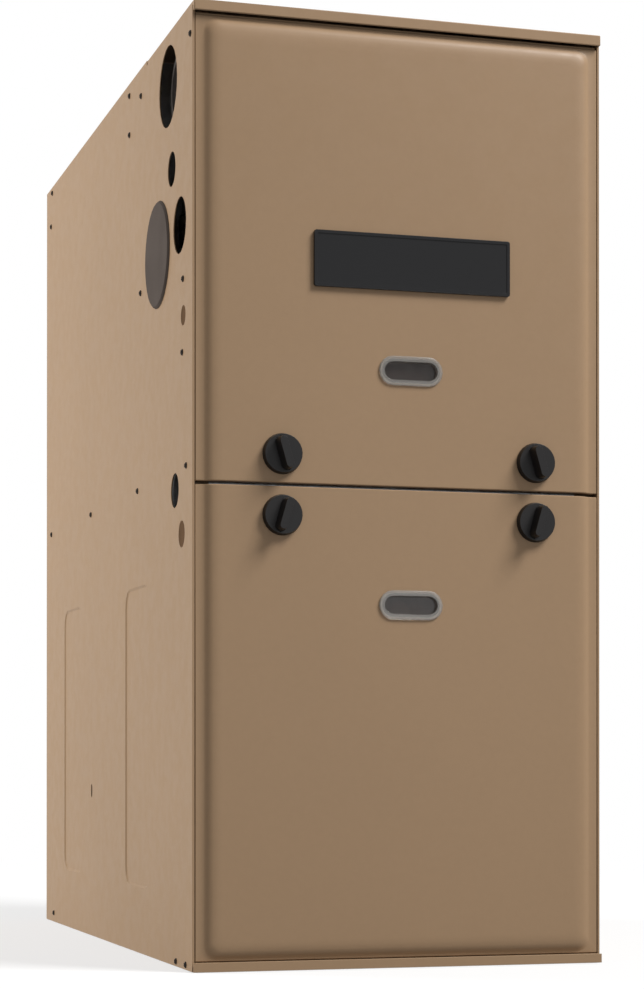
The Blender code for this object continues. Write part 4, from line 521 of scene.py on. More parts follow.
def shown(name, data, finish, body=CABINET):
    """A new piece from a mesh or curve, with its finish, riding on a body of the frame."""
    data.materials.clear()
    data.materials.append(FINISHES[finish])
    made = bpy.data.objects.new(name, data)
    bpy.context.scene.collection.objects.link(made)
    bpy.context.view_layer.update()
    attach(made, body)


def from_form(name, form, finish, body=CABINET):
    mesh = bpy.data.meshes.new(name)
    bmesh.ops.recalc_face_normals(form, faces=form.faces)
    form.to_mesh(mesh)
    form.free()
    mesh.shade_smooth()
    mesh.set_sharp_from_angle(angle=math.radians(SMOOTH_DEGREES))
    shown(name, mesh, finish, body)


def facing(place, direction, turn=0.0):
    """A matrix that takes local Z to the direction, at the place."""
    direction = Vector(direction).normalized()
    rotation = direction.to_track_quat("Z", "Y").to_matrix().to_4x4()
    return Matrix.Translation(place) @ rotation @ Matrix.Rotation(turn, 4, "Z")


def stamp(form, other, matrix):
    """Adds a copy of another form, moved by the matrix."""
    mesh = bpy.data.meshes.new("stamp")
    other.to_mesh(mesh)
    mesh.transform(matrix)
    form.from_mesh(mesh)
    bpy.data.meshes.remove(mesh)


def joined(*copies):
    """One form from several, each followed by its copies' matrices. The given forms are used up."""
    form = bmesh.new()
    for piece, *matrices in copies:
        for matrix in matrices or [IDENTITY]:
            stamp(form, piece, matrix)
        piece.free()
    return form


def turned(profile, sides=24, unit=MM):
    """A profile of (radius, height), in that unit, turned about Z. Ends on the axis are closed."""
    form = bmesh.new()
    verts = [form.verts.new((radius * unit, 0, height * unit)) for radius, height in profile]
    edges = [form.edges.new(pair) for pair in zip(verts, verts[1:])]
    bmesh.ops.spin(
        form, geom=verts + edges, axis=(0, 0, 1), cent=(0, 0, 0), steps=sides, angle=2 * math.pi,
        use_merge=True,
    )
    bmesh.ops.remove_doubles(form, verts=form.verts, dist=0.000002)
    bmesh.ops.recalc_face_normals(form, faces=form.faces)
    return form


def ring_form(inner, outer, low, high, bevel, sides):
    """A ring about Z with rounded rims."""
    profile = [
        (inner, low), (outer - bevel, low), (outer, low + bevel), (outer, high - bevel), (outer - bevel, high),
        (inner, high), (inner, low),
    ]
    return turned(profile, sides, 1)


def prism_form(outline, low, high, bevel):
    """A flat outline drawn up from low to high, with its rim edges rounded."""
    form = bmesh.new()
    base = form.faces.new([form.verts.new((x, y, low)) for x, y in outline])
    raised = bmesh.ops.extrude_face_region(form, geom=[base])
    verts = [v for v in raised["geom"] if isinstance(v, bmesh.types.BMVert)]
    bmesh.ops.translate(form, verts=verts, vec=(0, 0, high - low))
    bmesh.ops.recalc_face_normals(form, faces=form.faces)
    rims = [e for e in form.edges if abs(e.verts[0].co.z - e.verts[1].co.z) < 1e-7]
    bmesh.ops.bevel(form, geom=rims, offset=bevel, segments=2, affect="EDGES", clamp_overlap=True)
    return form


def block_form(low, high, bevel=0.0, segments=2):
    low, high = Vector(low), Vector(high)
    form = bmesh.new()
    bmesh.ops.create_cube(form, size=1)
    bmesh.ops.scale(form, vec=high - low, verts=form.verts)
    bmesh.ops.translate(form, verts=form.verts, vec=(low + high) / 2)
    if bevel:
        bmesh.ops.bevel(form, geom=form.edges[:], offset=bevel, segments=segments, affect="EDGES")
    return form


def arc(middle, radius, start, end, steps):
    """Points on an arc from one angle to another, in radians."""
    turns = [start + (end - start) * n / steps for n in range(steps + 1)]
    return [(middle[0] + radius * math.cos(t), middle[1] + radius * math.sin(t)) for t in turns]


def ring_points(radius, sides):
    return arc((0, 0), radius, 0, 2 * math.pi, sides)[:-1]


def rounded_corners(width, height, radius, steps=4):
    """A rectangle about the origin with rounded corners."""
    points = []
    for n, (side, rise) in enumerate(((1, 1), (-1, 1), (-1, -1), (1, -1))):
        middle = (side * (width / 2 - radius), rise * (height / 2 - radius))
        points += arc(middle, radius, math.pi / 2 * n, math.pi / 2 * (n + 1), steps)
    return points


def obround_points(length, width, steps):
    """A slot outline along X about the origin."""
    radius = width / 2
    points = []
    for side in (1, -1):
        start = -side * math.pi / 2
        points += arc((side * (length / 2 - radius), 0), radius, start, start + math.pi, steps)
    return points


def metres(place):
    """A tuple is in millimetres, and a vector is in metres already."""
    return place if isinstance(place, Vector) else Vector(place) * MM


def smooth_route(points):
    """Points on a smooth curve through the given ones."""
    places = [metres(p) for p in points]
    places = [places[0] * 2 - places[1]] + places + [places[-1] * 2 - places[-2]]
    route = []
    for before, start, end, after in zip(places, places[1:], places[2:], places[3:]):
        for n in range(ROUTE_STEPS):
            t = n / ROUTE_STEPS
            route.append(
                0.5 * (
                    2 * start + (end - before) * t
                    + (2 * before - 5 * start + 4 * end - after) * t * t
                    + (3 * start - before - 3 * end + after) * t * t * t
                )
            )
    return route + [places[-2]]


def wire(name, points, colour, radius=None):
    """An insulated wire through the points."""
    curve = bpy.data.curves.new(name, "CURVE")
    curve.dimensions = "3D"
    curve.bevel_depth = radius or settings("wires").wire_radius
    curve.bevel_resolution = 2
    curve.use_fill_caps = True
    spline = curve.splines.new("POLY")
    route = smooth_route(points)
    spline.points.add(len(route) - 1)
    for point, place in zip(spline.points, route):
        point.co = (*place, 1)
    spline.use_smooth = True
    shown(name, curve, colour + "_wire")


def bundle(name, colours, rows, radius=None):
    """Wires side by side. A row holds the first wire's point and the step to the next wire's."""
    for n, colour in enumerate(colours):
        wire("%s_%d" % (name, n + 1), [metres(start) + metres(step) * n for start, step in rows], colour, radius)


# Fasteners


def pan_head(radius):
    """A small domed screw head with a cross recess, standing on z 0."""
    head = turned([(0, 0.55), (0.45, 0.5225), (0.85, 0.33), (1, 0), (0, 0)], 14, radius)
    slot = radius * 0.12
    bar = block_form((-radius * 0.55, -slot, radius * 0.5115), (radius * 0.55, slot, radius * 0.572))
    return joined((head,), (bar, IDENTITY, Matrix.Rotation(math.pi / 2, 4, "Z")))


def hex_head(radius):
    """A hexagonal washer-head screw, standing on z 0."""
    top = radius * 0.62
    washer = turned([(0, 0.0011), (radius * 0.95, 0.0011), (radius, 0.0006), (radius, 0), (0, 0)], 18, 1)
    head = prism_form(ring_points(radius * 0.72, settings("fasteners").corners), 0.0008, 0.0008 + top, radius * 0.07)
    slot = block_form((-radius * 0.5, -radius * 0.07, top), (radius * 0.5, radius * 0.07, top + 0.00095))
    return joined((washer,), (head,), (slot,))


def fasten(name, spots, direction, head, finish="zinc", body=CABINET):
    """Screws at the spots as one piece, all facing the direction."""
    places = [facing(spot, direction, 0.7 * n) for n, spot in enumerate(spots)]
    from_form(name, joined((head, *places)), finish, body)


def rows_of(xs, y, zs):
    return [(x, y, z) for x in xs for z in zs]


SHARP_ANGLE = math.radians(38)
SOFT_EDGES = {"upper_door": 0.0004, "lower_door": 0.0004, "badge_plate": 0.0004, "blower_wheel": 0.00008}


def make_smoothing():
    """Geometry nodes that shade every face smooth and keep the edges above the sharp angle."""
    tree = bpy.data.node_groups.new("smooth_by_angle", "GeometryNodeTree")
    tree.is_modifier = True
    for way in ("INPUT", "OUTPUT"):
        tree.interface.new_socket("Geometry", in_out=way, socket_type="NodeSocketGeometry")
    angle = tree.nodes.new("GeometryNodeInputMeshEdgeAngle").outputs["Unsigned Angle"]
    soft = tree.nodes.new("FunctionNodeCompare")
    soft.operation = "LESS_THAN"
    put(tree, soft, "A", angle)
    put(tree, soft, "B", SHARP_ANGLE)
    shape = tree.nodes.new("NodeGroupInput").outputs[0]
    for domain, value in (("FACE", True), ("EDGE", soft.outputs["Result"])):
        step = tree.nodes.new("GeometryNodeSetShadeSmooth")
        step.domain = domain
        put(tree, step, "Geometry", shape)
        put(tree, step, "Shade Smooth", value)
        shape = step.outputs["Geometry"]
    tree.links.new(shape, tree.nodes.new("NodeGroupOutput").inputs[0])
    return tree


class FURNACE_OT_finish_solids(bpy.types.Operator):
    """Give every solid of the frame its finish and soften its edges"""

    bl_idname = "furnace.finish_solids"
    bl_label = "Finish the solids"

    def execute(self, context):
        FINISHES.update(make_finishes())
        slots = {s["node"]: s["material_slot"] for s in frame["record"]["subparts"]}
        smoothing = make_smoothing()
        for name, node in frame["nodes"].items():
            node.data.materials.clear()
            node.data.materials.append(FINISHES[slots[name]])
            node.modifiers.new("weld", "WELD").merge_threshold = 0.000002
            # the side panels keep flat faces, or their shallow pressings would shade the whole sheet
            if not name.endswith("_side_panel"):
                node.modifiers.new("smooth", "NODES").node_group = smoothing
            soft = node.modifiers.new("soft_edges", "BEVEL")
            soft.width = SOFT_EDGES.get(name, 0.00025)
            soft.segments = 2
            soft.limit_method = "ANGLE"
            soft.angle_limit = SHARP_ANGLE
            soft.use_clamp_overlap = True
            soft.harden_normals = True
        return {"FINISHED"}


# Each spot is a depth behind the front edge and a height.
SIDE_SCREWS = (
    (0.266, 0.826), (0.212, 0.8115), (0.266, 0.788), (0.700, 0.831), (0.707, 0.794), (0.035, 0.604),
    (0.214, 0.625), (0.038, 0.540), (0.023, 0.439), (0.228, 0.439), (0.464, 0.440), (0.704, 0.441),
    (0.687, 0.010), (0.062, 0.0045), (0.024, 0.0045), (0.007, 0.811),
)
KNOCKOUTS = ((0.035, 0.572, 0.0086), (0.041, 0.381, 0.0116))


class FURNACE_OT_add_side_screws(bpy.types.Operator):
    """Add the screws on both sides of the cabinet"""

    bl_idname = "furnace.add_side_screws"
    bl_label = "Side screws"

    def execute(self, context):
        radius = settings("fasteners").side_radius
        for side, x, name in ((-1, SIDE_LEFT, "left_side_screws"), (1, SIDE_RIGHT, "right_side_screws")):
            spots = [(x, FRONT + depth, height) for depth, height in SIDE_SCREWS]
            fasten(name, spots, RIGHT * side, pan_head(radius), "dark_screw")
        return {"FINISHED"}


class FURNACE_OT_add_knockouts(bpy.types.Operator):
    """Add the dark brown discs of the two knock-outs on the left side"""

    bl_idname = "furnace.add_knockouts"
    bl_label = "Knock-outs"

    def execute(self, context):
        discs = []
        for depth, height, radius in KNOCKOUTS:
            disc = turned(
                [(0, 0.00012), (radius * 0.62, 0.00012), (radius * 0.70, 0.00034), (radius * 0.80, 0.00034),
                 (radius * 0.88, 0.00012), (radius, 0.00006), (radius, -0.0003)], 32, 1
            )
            discs.append((disc, facing((SIDE_LEFT + 0.0005, FRONT + depth, height), -RIGHT)))
        from_form("left_knockout_discs", joined(*discs), "primer")
        return {"FINISHED"}


class FURNACE_OT_add_cap_strip(bpy.types.Operator):
    """Add the folded strip that closes the gap between the upper door and the top plate"""

    bl_idname = "furnace.add_cap_strip"
    bl_label = "Strip under the top plate"

    def execute(self, context):
        low, high = low_corner("upper_door"), high_corner("upper_door")
        bottom = high.z + 0.0004
        outline = [
            (FRONT + 0.0022, bottom), (FRONT + 0.0026, bottom - 0.0001), (FRONT + 0.010, bottom - 0.0001),
            (FRONT + 0.010, bottom + 0.0006), (FRONT + 0.0032, bottom + 0.0006),
            (FRONT + 0.0032, high.z + 0.0022), (FRONT + 0.0022, high.z + 0.0022),
        ]
        form = prism_form(outline, low.x + 0.001, high.x - 0.001, 0.00008)
        along_x = Matrix(((0, 0, 1, 0), (1, 0, 0, 0), (0, 1, 0, 0), (0, 0, 0, 1)))
        bmesh.ops.transform(form, matrix=along_x, verts=form.verts)
        from_form("cap_strip", form, "cabinet_paint")
        return {"FINISHED"}


class FURNACE_OT_add_back_screws(bpy.types.Operator):
    """Add the screws along the back panel"""

    bl_idname = "furnace.add_back_screws"
    bl_label = "Back screws"

    def execute(self, context):
        rear = high_corner("back_panel").y
        spots = rows_of((-0.180, 0.180), rear, (0.035, 0.22, 0.405, 0.59, 0.775))
        spots += rows_of((-0.09, 0.0, 0.09), rear, (0.823,))
        fasten("back_panel_screws", spots, BACK, pan_head(settings("fasteners").side_radius), "dark_screw")
        return {"FINISHED"}


class FURNACE_OT_add_inner_screws(bpy.types.Operator):
    """Add the sheet-metal screws of the inner panels, the header and the vent blower"""

    bl_idname = "furnace.add_inner_screws"
    bl_label = "Inner screws"

    def execute(self, context):
        radius = settings("fasteners").panel_radius
        spots = rows_of((-0.178, 0.178), VESTIBULE_FACE, (0.475, 0.525, 0.690, 0.745, 0.812))
        spots += rows_of((-0.09, 0.0, 0.09), VESTIBULE_FACE, (0.815,))
        fasten("vestibule_screws", spots, FRONTWARD, hex_head(radius))

        face = low_corner("condensate_header").y
        spots = rows_of((-0.147, -0.080, -0.010, 0.055, 0.111), face, (0.4705,))
        spots += rows_of((0.055, 0.111), face, (0.524,)) + [(0.0125, face, 0.633)]
        fasten("header_screws", spots, FRONTWARD, hex_head(radius * 0.75))

        centre = Vector((centre_of("inducer_motor").x, low_corner("inducer_housing").y, centre_of("inducer_wheel").z))
        turns = [math.radians(a) for a in (150, 210, 255, 285, 330, 30)]
        spots = [centre + 0.0535 * Vector((math.cos(t), 0, math.sin(t))) for t in turns]
        fasten("vent_blower_screws", spots, FRONTWARD, pan_head(0.0032), "dark_screw")

        box = high_corner("burner_box")
        spots = rows_of((-0.085, 0.0, 0.085), box.y - 0.012, (box.z,))
        fasten("burner_box_screws", spots, UP, hex_head(radius * 0.8))
        for side, name in ((-1, "left_bracket_screws"), (1, "right_bracket_screws")):
            spots = rows_of((side * (box.x + 0.0018),), box.y - 0.085, (0.739, 0.761))
            fasten(name, spots, RIGHT * side, hex_head(radius * 0.7))

        flange = high_corner("blower_housing").z - 0.0012
        spots = [(x, y, flange) for x in (-0.129, 0.129) for y in (0.048, 0.222)]
        fasten("blower_rail_screws", spots, -UP, hex_head(radius))

        spots = rows_of((-0.181, 0.181), low_corner("mid_rail").y, (0.385, 0.459))
        fasten("mid_rail_screws", spots, FRONTWARD, pan_head(0.0026))
        return {"FINISHED"}


class FURNACE_OT_add_gas_fittings(bpy.types.Operator):
    """Add the burner orifices and the gas valve's cover, taps and terminals"""

    bl_idname = "furnace.add_gas_fittings"
    bl_label = "Gas fittings"

    def execute(self, context):
        low, high = low_corner("gas_valve"), high_corner("gas_valve")
        nut = prism_form(ring_points(0.0072, 6), 0, 0.006, 0.0006)
        tip = turned([(0, 12.5), (1.2, 12.5), (3, 10.5), (4.8, 6), (0, 6)], 16)
        places = [facing((centre_of(burner).x, low.y + 0.0395, 0.750), BACK)
                  for burner in ("burner_1", "burner_2", "burner_3")]
        from_form("burner_orifices", joined((nut, *places), (tip, *places)), "brass")

        left = high.x - 0.060
        middle = Vector((left + 0.030, low.y, low.z + 0.037))
        cover = prism_form(rounded_corners(0.052, 0.066, 0.005), 0, 0.0018, 0.0006)
        from_form("gas_valve_cover", joined((cover, facing(middle, FRONTWARD))), "zinc")
        spots = rows_of((middle.x - 0.021, middle.x + 0.021), low.y - 0.0016, (middle.z - 0.028, middle.z + 0.028))
        fasten("gas_valve_screws", spots, FRONTWARD, pan_head(0.0024))

        tower = turned([(0, 7.5), (4.5, 7.5), (5.2, 6.8), (5.2, 1.2), (6.8, 0), (0, 0)])
        place = facing((left + 0.012, low.y - 0.0016, low.z + 0.016), FRONTWARD)
        from_form("regulator_cap", joined((tower, place)), "brass")

        tap = turned([(0, 6), (2.8, 6), (3.4, 5.2), (3.4, 0), (0, 0)], 6)
        places = [facing((high.x, low.y + 0.020, low.z + rise), RIGHT) for rise in (0.014, 0.058)]
        from_form("pressure_taps", joined((tap, *places)), "brass")

        blades = [
            (block_form((x - 0.003, high.y - 0.006, high.z - 0.0225), (x + 0.003, high.y - 0.0052, high.z - 0.0125),
                        0.0003, 1),)
            for x in (middle.x - 0.008, middle.x + 0.008)
        ]
        from_form("gas_valve_terminals", joined(*blades), "brass")
        return {"FINISHED"}


class FURNACE_OT_add_vent_fittings(bpy.types.Operator):
    """Add the vent's rubber coupling and its band clamps, and the clips of the pressure hose"""

    bl_idname = "furnace.add_vent_fittings"
    bl_label = "Vent fittings"

    def execute(self, context):
        low, high = low_corner("vent_pipe"), high_corner("vent_pipe")
        outer = (high.y - low.y) / 2
        centre = Vector((high.x - outer, (low.y + high.y) / 2, low.z))
        sleeve = ring_form(outer + 0.0004, outer + 0.0030, 0.0, 0.026, 0.0008, 36)
        from_form("vent_coupling", joined((sleeve, Matrix.Translation(centre))), "rubber")

        band = ring_form(outer + 0.0031, outer + 0.0037, 0.0, 0.0075, 0.0002, 40)
        housing = block_form((outer + 0.0032, -0.005, 0.0005), (outer + 0.0105, 0.005, 0.0070), 0.0008)
        screw = turned([(0, 8), (2.6, 8), (3, 7.4), (3, -8.5), (0, -8.5)], 8)
        along = Matrix.Translation((outer + 0.007, 0, 0.0037)) @ Matrix.Rotation(math.pi / 2, 4, "X")
        clamp = joined((band,), (housing,), (screw, along))
        places = [Matrix.Translation(centre + UP * rise) @ Matrix.Rotation(math.radians(-60), 4, "Z")
                  for rise in (0.003, 0.0155)]
        from_form("vent_clamps", joined((clamp, *places)), "zinc")

        low, high = low_corner("pressure_hose"), high_corner("pressure_hose")
        radius = (high.y - low.y) / 2
        ring = ring_form(radius + 0.0002, radius + 0.0009, -0.002, 0.002, 0.0002, 20)
        ear = block_form((radius + 0.0004, -0.0012, -0.0018), (radius + 0.0045, 0.0012, 0.0018), 0.0004)
        clip = joined((ring,), (ear,))
        y = low.y + radius
        places = (facing((high.x - 0.005, y, high.z - radius), RIGHT), facing((low.x + radius, y, low.z + 0.006), UP))
        from_form("hose_clips", joined((clip, *places)), "zinc")
        return {"FINISHED"}


TRUNK = Vector((0.150, -0.312, DECK_FACE))


def spade():
    """A push-on terminal sleeve, standing on z 0."""
    sleeve = block_form((-0.0034, -0.0014, 0.0), (0.0034, 0.0014, 0.013), 0.0006)
    neck = turned([(0, 18), (1.9, 18), (2.4, 13), (0, 13)], 10)
    return joined((sleeve,), (neck,))


def down_trunk(n):
    """The shared way down to the grommet, one wire beside another."""
    shift = Vector((math.cos(2.4 * n), math.sin(2.4 * n), 0)) * (0.0016 + 0.0006 * (n % 5))
    return [TRUNK + shift + UP * 0.075, TRUNK + shift * 1.1 + UP * 0.035, TRUNK + shift - UP * 0.0005]


class FURNACE_OT_add_burner_wiring(bpy.types.Operator):
    """Add the wires of the burner compartment and the grommet that takes them down"""

    bl_idname = "furnace.add_burner_wiring"
    bl_label = "Burner wiring"

    def execute(self, context):
        upper = turned([(6.5, 3.5), (10, 3.5), (11.2, 2), (10, 0.2), (6.5, 0.2), (6.5, 3.5)])
        lower = turned([(6.5, -3.5), (10, -3.5), (11.2, -2.2), (10, -1.3), (6.5, -1.3), (6.5, -3.5)])
        place = Matrix.Translation(TRUNK)
        from_form("deck_grommet", joined((upper, place), (lower, place)), "rubber")

        valve = Vector((0, high_corner("gas_valve").y - 0.0057, 0.694))
        switch, limit = front_of("pressure_switch"), front_of("limit_switch")
        switch_tabs = (switch - RIGHT * 0.008, switch + Vector((0.010, 0, -0.008)))
        limit_tabs = (limit - RIGHT * 0.005, limit + RIGHT * 0.005)
        rollout = high_corner("rollout_switch")
        rollout.y = -0.2345
        sensor, igniter = centre_of("flame_sensor"), centre_of("igniter")
        sensor.z = low_corner("igniter").z + 0.003
        igniter.z = low_corner("igniter").z + 0.002
        behind = (136, -262, 598)
        runs = (
            ("gas_valve_wire_1", "yellow", valve + RIGHT * 0.135, (136, -262, 698), (160, -254, 668), (163, -268, 605)),
            ("gas_valve_wire_2", "brown", valve + RIGHT * 0.151, (154, -260, 698), (166, -256, 664), (166, -272, 600)),
            ("pressure_wire_1", "orange", switch_tabs[0], (83, -246, 600), (104, -268, 585)),
            ("pressure_wire_2", "yellow", switch_tabs[1], (103, -244, 590), (118, -262, 572)),
            ("limit_wire_1", "red", limit_tabs[0], (145, -228, 583), (150, -262, 560)),
            ("limit_wire_2", "red", limit_tabs[1], (157, -229, 581), (158, -264, 556)),
            ("rollout_wire_1", "red", rollout - RIGHT * 0.022, (47, -238, 814.5), (80, -243, 812), (108.5, -243, 797),
             (111.5, -240, 760), (112, -240, 690), (122, -246, 632), behind),
            ("rollout_wire_2", "red", rollout - RIGHT * 0.010, (60, -232, 814), (84, -234, 812), (109, -234, 797),
             (111.5, -233, 760), (112.5, -234, 690), (124, -242, 636), (139, -259, 600)),
            ("flame_sensor_wire", "white", sensor, (36, -209, 668), (60, -214, 655), (100, -226, 648),
             (124, -250, 622), behind),
            ("igniter_wire_1", "white", igniter - RIGHT * 0.0022, (-36, -211, 668), (-15, -216, 656), (40, -220, 652),
             (98, -230, 645), (122, -253, 618), behind),
            ("igniter_wire_2", "white", igniter + RIGHT * 0.0022, (-31, -214, 667), (-10, -220, 653), (40, -224, 649),
             (96, -233, 642), (120, -256, 614), behind),
        )
        for n, (name, colour, *points) in enumerate(runs):
            wire(name, points + down_trunk(n), colour)

        apart = (0, -3, 3)
        first = [
            centre_of("inducer_motor") + Vector((0.028, 0.004, -0.026)), (-28, -332, 536), (20, -326, 505),
            (90, -322, 484), (132, -316, 470),
        ]
        rows = [(metres(point) - metres(apart), apart) for point in first]
        end = TRUNK + Vector((-0.003, -0.002, 0))
        rows += [(end + UP * 0.010, (2, 2, 0)), (end - UP * 0.0005, (2, 2, 0))]
        bundle("vent_motor_wire", ("black", "white", "green"), rows)

        into_limit, into_switch = BACK * 0.007, BACK * 0.0005
        places = [facing(tab + into_limit, FRONTWARD) for tab in limit_tabs]
        places += [facing(tab + into_switch, FRONTWARD, turn) for tab, turn in zip(switch_tabs, (0.6, -0.4))]
        from_form("terminal_sleeves", joined((spade(), *places)), "white_plastic")
        tie = ring_form(0.0062, 0.0072, -0.0013, 0.0013, 0.0002, 20)
        places = [Matrix.Translation(TRUNK + UP * rise) for rise in (0.030, 0.062)]
        from_form("cable_ties", joined((tie, *places)), "black_plastic")
        return {"FINISHED"}


# Millimetres across and up from the board's centre, then width, height and rise.
BOARD_BLOCKS = (
    ("relay_1", "relay_black", -52, 30, 22, 26, 16),
    ("relay_2", "relay_black", -22, 30, 22, 26, 16),
    ("relay_3", "relay_black", 8, 32, 20, 22, 14),
    ("line_terminals", "white_plastic", 50, 36, 38, 10, 12),
    ("timer_chip", "relay_black", -50, -8, 16, 16, 6),
    ("control_chip", "relay_black", -12, -6, 30, 12, 5),
    ("lamp_driver", "relay_black", 34, 6, 14, 14, 8),
    ("harness_plug", "white_plastic", 62, 0, 12, 40, 10),
    ("speed_tap_plug", "white_plastic", -30, -42, 60, 12, 11),
    ("thermostat_terminals", "white_plastic", 36, -42, 44, 12, 9),
    ("board_fuse", "red_plastic", 10, -24, 18, 8, 4),
)
BOARD_CANS = ((30, 12, 5), (-30, 6, 4), (46, -18, 5))
BOARD_RESISTORS = (
    (-62, -22), (-54, -22), (-46, -22), (-34, -20), (20, -10), (22, 2), (-4, 8), (4, 8), (30, -26), (40, -28)
)
BOARD_SKIN = 0.0004


def board_spot(across, up, out=0.0):
    """A place on the board's face, from millimetres across, up and out of it."""
    face = centre_of("control_board")
    face.y = low_corner("control_board").y + 0.016
    return face + metres((across, -out, up))


class FURNACE_OT_add_board_parts(bpy.types.Operator):
    """Add the relays, plugs, fuse and lamp of the control board, and its screws"""

    bl_idname = "furnace.add_board_parts"
    bl_label = "Board parts"

    def execute(self, context):
        skin = Vector((BOARD_SKIN, 0, BOARD_SKIN))
        for name, finish, across, up, width, height, rise in BOARD_BLOCKS:
            low = board_spot(across - width / 2, up - height / 2, rise) - skin - BACK * BOARD_SKIN
            high = board_spot(across + width / 2, up + height / 2, 0.2) + skin
            from_form(name, block_form(low, high, 0.0007), finish)

        shells, tops = [], []
        for across, up, radius in BOARD_CANS:
            place = facing(board_spot(across, up), FRONTWARD)
            wide = radius + 0.4
            shells.append((turned(
                [(0, 14.8), (wide - 1.2, 14.8), (wide - 0.8, 15.4), (wide - 0.3, 15.4), (wide, 14.8), (wide, 3),
                 (wide - 0.6, 2.4), (wide, 1.8), (wide, 0.2), (0, 0.2)], 20
            ), place))
            tops.append((turned([(0, 15), (wide - 1.6, 15), (wide - 1.4, 14.6), (0, 14.6)], 20), place))
        from_form("board_capacitors", joined(*shells), "black_plastic")
        from_form("capacitor_tops", joined(*tops), "zinc")

        spots = [board_spot(across, up) for across in (-67, 67) for up in (-48, 48)]
        fasten("board_screws", spots, FRONTWARD, pan_head(0.0028))
        spots = [board_spot(35.5 + 7.2 * n, 36, 12) for n in range(5)]
        fasten("line_terminal_screws", spots, FRONTWARD, pan_head(0.0018))
        spots = [board_spot(19 + 6.8 * n, -42, 9.4) for n in range(6)]
        fasten("thermostat_screws", spots, FRONTWARD, pan_head(0.0018))

        lens = turned([(0, 5.8), (1.4, 5.2), (2.1, 3.8), (2.1, 0.2), (0, 0.2)], 16)
        from_form("status_lamp", joined((lens, facing(board_spot(-64, 4), FRONTWARD))), "red_plastic")
        resistor = turned(
            [(0, 3.2), (0.9, 3.2), (1.1, 2.6), (0.9, 1.8), (0.9, -1.8), (1.1, -2.6), (0.9, -3.2), (0, -3.2)], 12
        )
        places = [Matrix.Translation(board_spot(*spot, 1.2)) for spot in BOARD_RESISTORS]
        from_form("board_resistors", joined((resistor, *places)), "ceramic")
        return {"FINISHED"}


class FURNACE_OT_add_blower_fittings(bpy.types.Operator):
    """Add the transformer's plates, the capacitor's boot, the motor's details and the wire nuts"""

    bl_idname = "furnace.add_blower_fittings"
    bl_label = "Blower compartment fittings"

    def execute(self, context):
        middle = centre_of("transformer")
        front, back = low_corner("transformer").y, high_corner("transformer").y
        plates = []
        for n in range(11):
            y = back - 0.0295 + 0.0022 * n
            low, high = (middle.x - 0.0264, y, middle.z - 0.0244), (middle.x + 0.0264, y + 0.0012, middle.z + 0.0244)
            plates.append((block_form(low, high, 0.0002, 1),))
        from_form("transformer_plates", joined(*plates), "dark_screw")
        low = (middle.x - 0.0164, front - 0.0003, middle.z - 0.0144)
        high = (middle.x + 0.0164, back - 0.0300, middle.z + 0.0144)
        from_form("transformer_winding", block_form(low, high, 0.0030, 3), "brown_wire")
        spots = [(middle.x + side * 0.0265, back - 0.0065, middle.z + side * 0.0268) for side in (-1, 1)]
        fasten("transformer_screws", spots, FRONTWARD, pan_head(0.0026))

        can, can_top = centre_of("run_capacitor"), high_corner("run_capacitor").z
        low = (can.x - 0.0120, can.y - 0.0055, can_top - 0.0086)
        high = (can.x + 0.0120, can.y + 0.0055, can_top + 0.0040)
        from_form("capacitor_boot", block_form(low, high, 0.0020), "rubber")
        strap = bmesh.new()
        foot = low_corner("run_capacitor").z + 0.030
        loop, top = (
            [strap.verts.new((can.x + u, can.y + v, z)) for u, v in obround_points(0.0366, 0.0316, 8)]
            for z in (foot, foot + 0.012)
        )
        for n in range(len(loop)):
            strap.faces.new((loop[n - 1], loop[n], top[n], top[n - 1]))
        bmesh.ops.solidify(strap, geom=strap.faces[:], thickness=-0.0006)
        from_form("capacitor_strap", strap, "galvanised")

        axis, end = centre_of("blower_motor"), low_corner("blower_motor").x
        cap = turned([(0, 3), (12, 3), (14, 1.4), (14.6, 0), (0, 0)])
        from_form("motor_end_cap", joined((cap, facing((end + 0.0002, axis.y, axis.z), -RIGHT))), "black_steel")
        turns = [math.radians(a) for a in (45, 135, 225, 315)]
        spots = [(end + 0.004, axis.y + 0.058 * math.cos(t), axis.z + 0.058 * math.sin(t)) for t in turns]
        fasten("motor_bolts", spots, -RIGHT, hex_head(0.0040))

        mount = low_corner("motor_mount").x
        ears = [
            (block_form((mount + 0.001, axis.y + y, axis.z + 0.0705),
                        (mount + 0.019, axis.y + y + 0.0045, axis.z + 0.0850), 0.0006),)
            for y in (-0.0085, 0.0040)
        ]
        bolt = turned(
            [(0, 15), (2.2, 15), (2.2, 9.8), (4.4, 9.8), (4.4, 8.6), (2.2, 8.6), (2.2, -8.6), (4.4, -8.6), (4.4, -12),
             (0, -12)], 12
        )
        place = facing((mount + 0.010, axis.y, axis.z + 0.0790), BACK)
        from_form("belly_band_clamp", joined(*ears, (bolt, place)), "zinc")

        hub = centre_of("blower_wheel")
        collar = prism_form(ring_points(0.0034, 8), 0, 0.004, 0.0004)
        place = facing((0.009, hub.y, hub.z + 0.0155), UP)
        from_form("hub_set_screw", joined((collar, place)), "zinc", "blower_wheel")

        box = low_corner("junction_box")
        nut = turned([(0, 13), (2.2, 12.8), (3.4, 11.2), (4, 6), (5, 1), (5, 0), (0, 0)], 12)
        places = (
            facing(box + Vector((0.020, 0.022, 0.012)), (0.5, -0.2, 1)),
            facing(box + Vector((0.036, 0.024, 0.012)), (-0.3, -0.3, 1)),
        )
        from_form("wire_nuts", joined((nut, *places)), "red_plastic")
        fasten("ground_screw", [box + Vector((0.054, 0.0075, 0.001))], UP, hex_head(0.0030), "green_wire")
        return {"FINISHED"}


